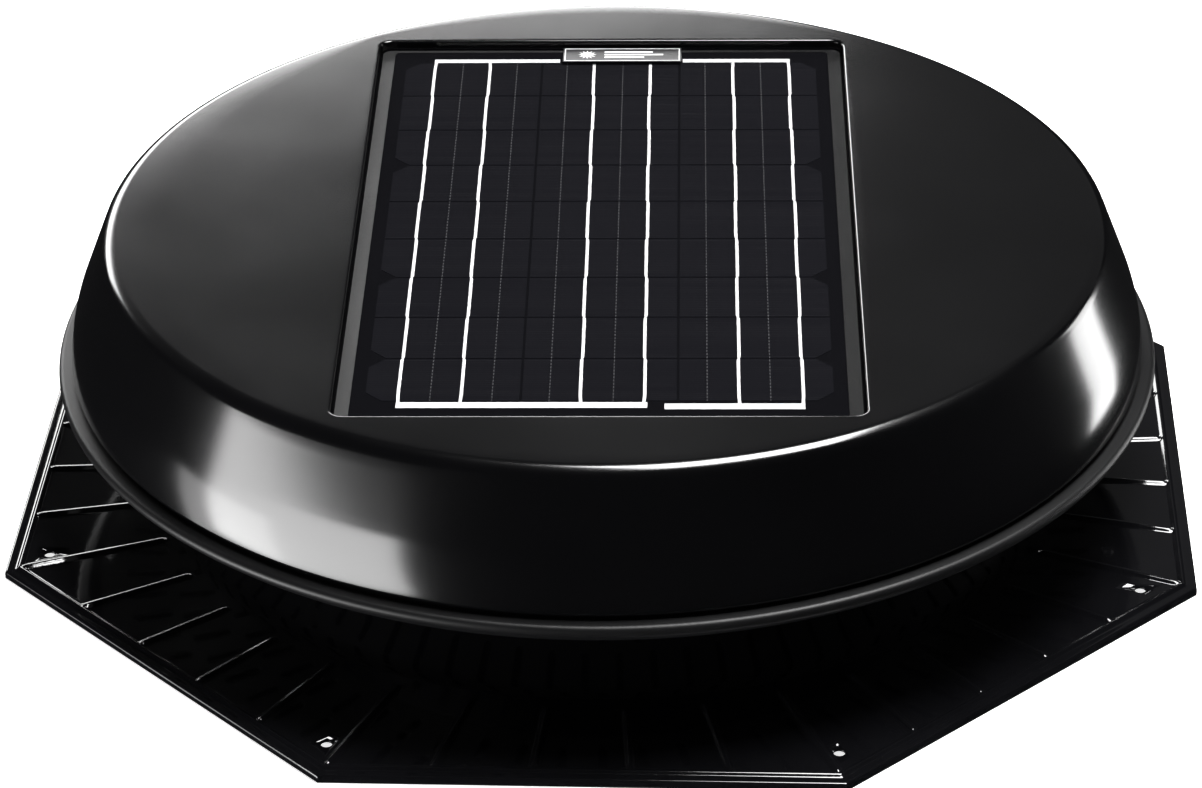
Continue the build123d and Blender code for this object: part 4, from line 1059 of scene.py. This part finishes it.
@dataclass
class Studio:
    """Camera, pale floor, dim surroundings and soft lights."""

    azimuth: float = 2.810
    elevation: float = 29.865
    roll: float = -0.692
    distance: float = 2.5451
    target: tuple[float, float, float] = (-0.0062, 0.0745, 0.0)
    lens: float = 133.10
    shift_x: float = -0.00145
    floor_half: float = 60.0
    floor_glow: float = 0.80
    softboxes: tuple[Softbox, ...] = field(
        default_factory=lambda: (
            Softbox("left_softbox", 212.0, -10.0, 1.9, 1.3, 12.0),
            Softbox("far_left_softbox", 194.0, -17.0, 1.0, 0.9, 3.5),
            Softbox("rear_right_softbox", 66.0, 28.0, 2.2, 1.2, 0.08),
            Softbox("rear_left_softbox", 114.0, 16.2, 2.3, 0.6, 10.0),
            Softbox("right_strip", 30.0, -2.0, 0.52, 1.4, 9.0),
            Softbox("overhead_softbox", 20.0, 76.0, 1.2, 0.9, 34.0, 2.0),
        )
    )

    def make(self) -> None:
        """Builds the camera, the floor, the surroundings and the lights."""
        self.camera()
        self.floor()
        self.surroundings()
        for softbox in self.softboxes:
            softbox.make()
        bpy.context.scene.view_settings.view_transform = "Standard"

    def camera(self) -> None:
        """Places the camera by azimuth, elevation, roll and distance from its target."""
        turn, rise, lean = radians(self.azimuth), radians(self.elevation), radians(self.roll)
        back = Vector((sin(turn) * cos(rise), -cos(turn) * cos(rise), sin(rise)))
        level = Vector((cos(turn), sin(turn), 0))
        upright = back.cross(level)
        right = level * cos(lean) + upright * sin(lean)
        up = back.cross(right)
        data = bpy.data.cameras.new("camera")
        data.lens, data.sensor_width, data.shift_x = self.lens, 36.0, self.shift_x
        data.clip_start, data.clip_end = 0.05, 300.0
        camera = bpy.data.objects.new("camera", data)
        axes = Matrix((right, up, back)).transposed()
        camera.matrix_world = Matrix.Translation(Vector(self.target) + back * self.distance) @ axes.to_4x4()
        bpy.context.scene.collection.objects.link(camera)
        bpy.context.scene.camera = camera

    def floor(self) -> None:
        """Lays the pale floor that the object stands on."""
        half = self.floor_half
        mesh = bpy.data.meshes.new("floor")
        corners = [(-half, -half, 0), (half, -half, 0), (half, half, 0), (-half, half, 0)]
        mesh.from_pydata(corners, [], [(0, 1, 2, 3)])
        floor = bpy.data.objects.new("floor", mesh)
        graph = Graph("floor_white")
        glow = self.floor_glow
        graph.feed(Base_Color=(0.9, 0.9, 0.9, 1), Roughness=0.9)
        graph.feed(Emission_Color=(1, 1, 1, 1), Emission_Strength=glow)
        mesh.materials.append(graph.material)
        floor.visible_glossy = False
        floor.visible_shadow = False
        bpy.context.scene.collection.objects.link(floor)

    def surroundings(self) -> None:
        """Makes the surroundings white to the eye and dim as a light."""
        world = bpy.data.worlds.new("surroundings")
        world.use_nodes = True
        nodes, links = world.node_tree.nodes, world.node_tree.links
        nodes.clear()
        dim, white = nodes.new("ShaderNodeBackground"), nodes.new("ShaderNodeBackground")
        dim.inputs[0].default_value = (0.009, 0.009, 0.0095, 1)
        white.inputs[0].default_value = (1, 1, 1, 1)
        path, mix = nodes.new("ShaderNodeLightPath"), nodes.new("ShaderNodeMixShader")
        out = nodes.new("ShaderNodeOutputWorld")
        links.new(path.outputs["Is Camera Ray"], mix.inputs[0])
        links.new(dim.outputs[0], mix.inputs[1])
        links.new(white.outputs[0], mix.inputs[2])
        links.new(mix.outputs[0], out.inputs[0])
        bpy.context.scene.world = world


def main() -> None:
    """Builds the studio, dresses the carried-over nodes and adds the detailed pieces."""
    Studio().make()
    shop = Paintshop()
    shop.coat_frame()
    for assembly in (Hood(), LowerRing(), Flashing(), Panel()):
        assembly.make(shop)
        LOG.info("built %s", type(assembly).__name__)


if __name__ == "__main__":
    main()
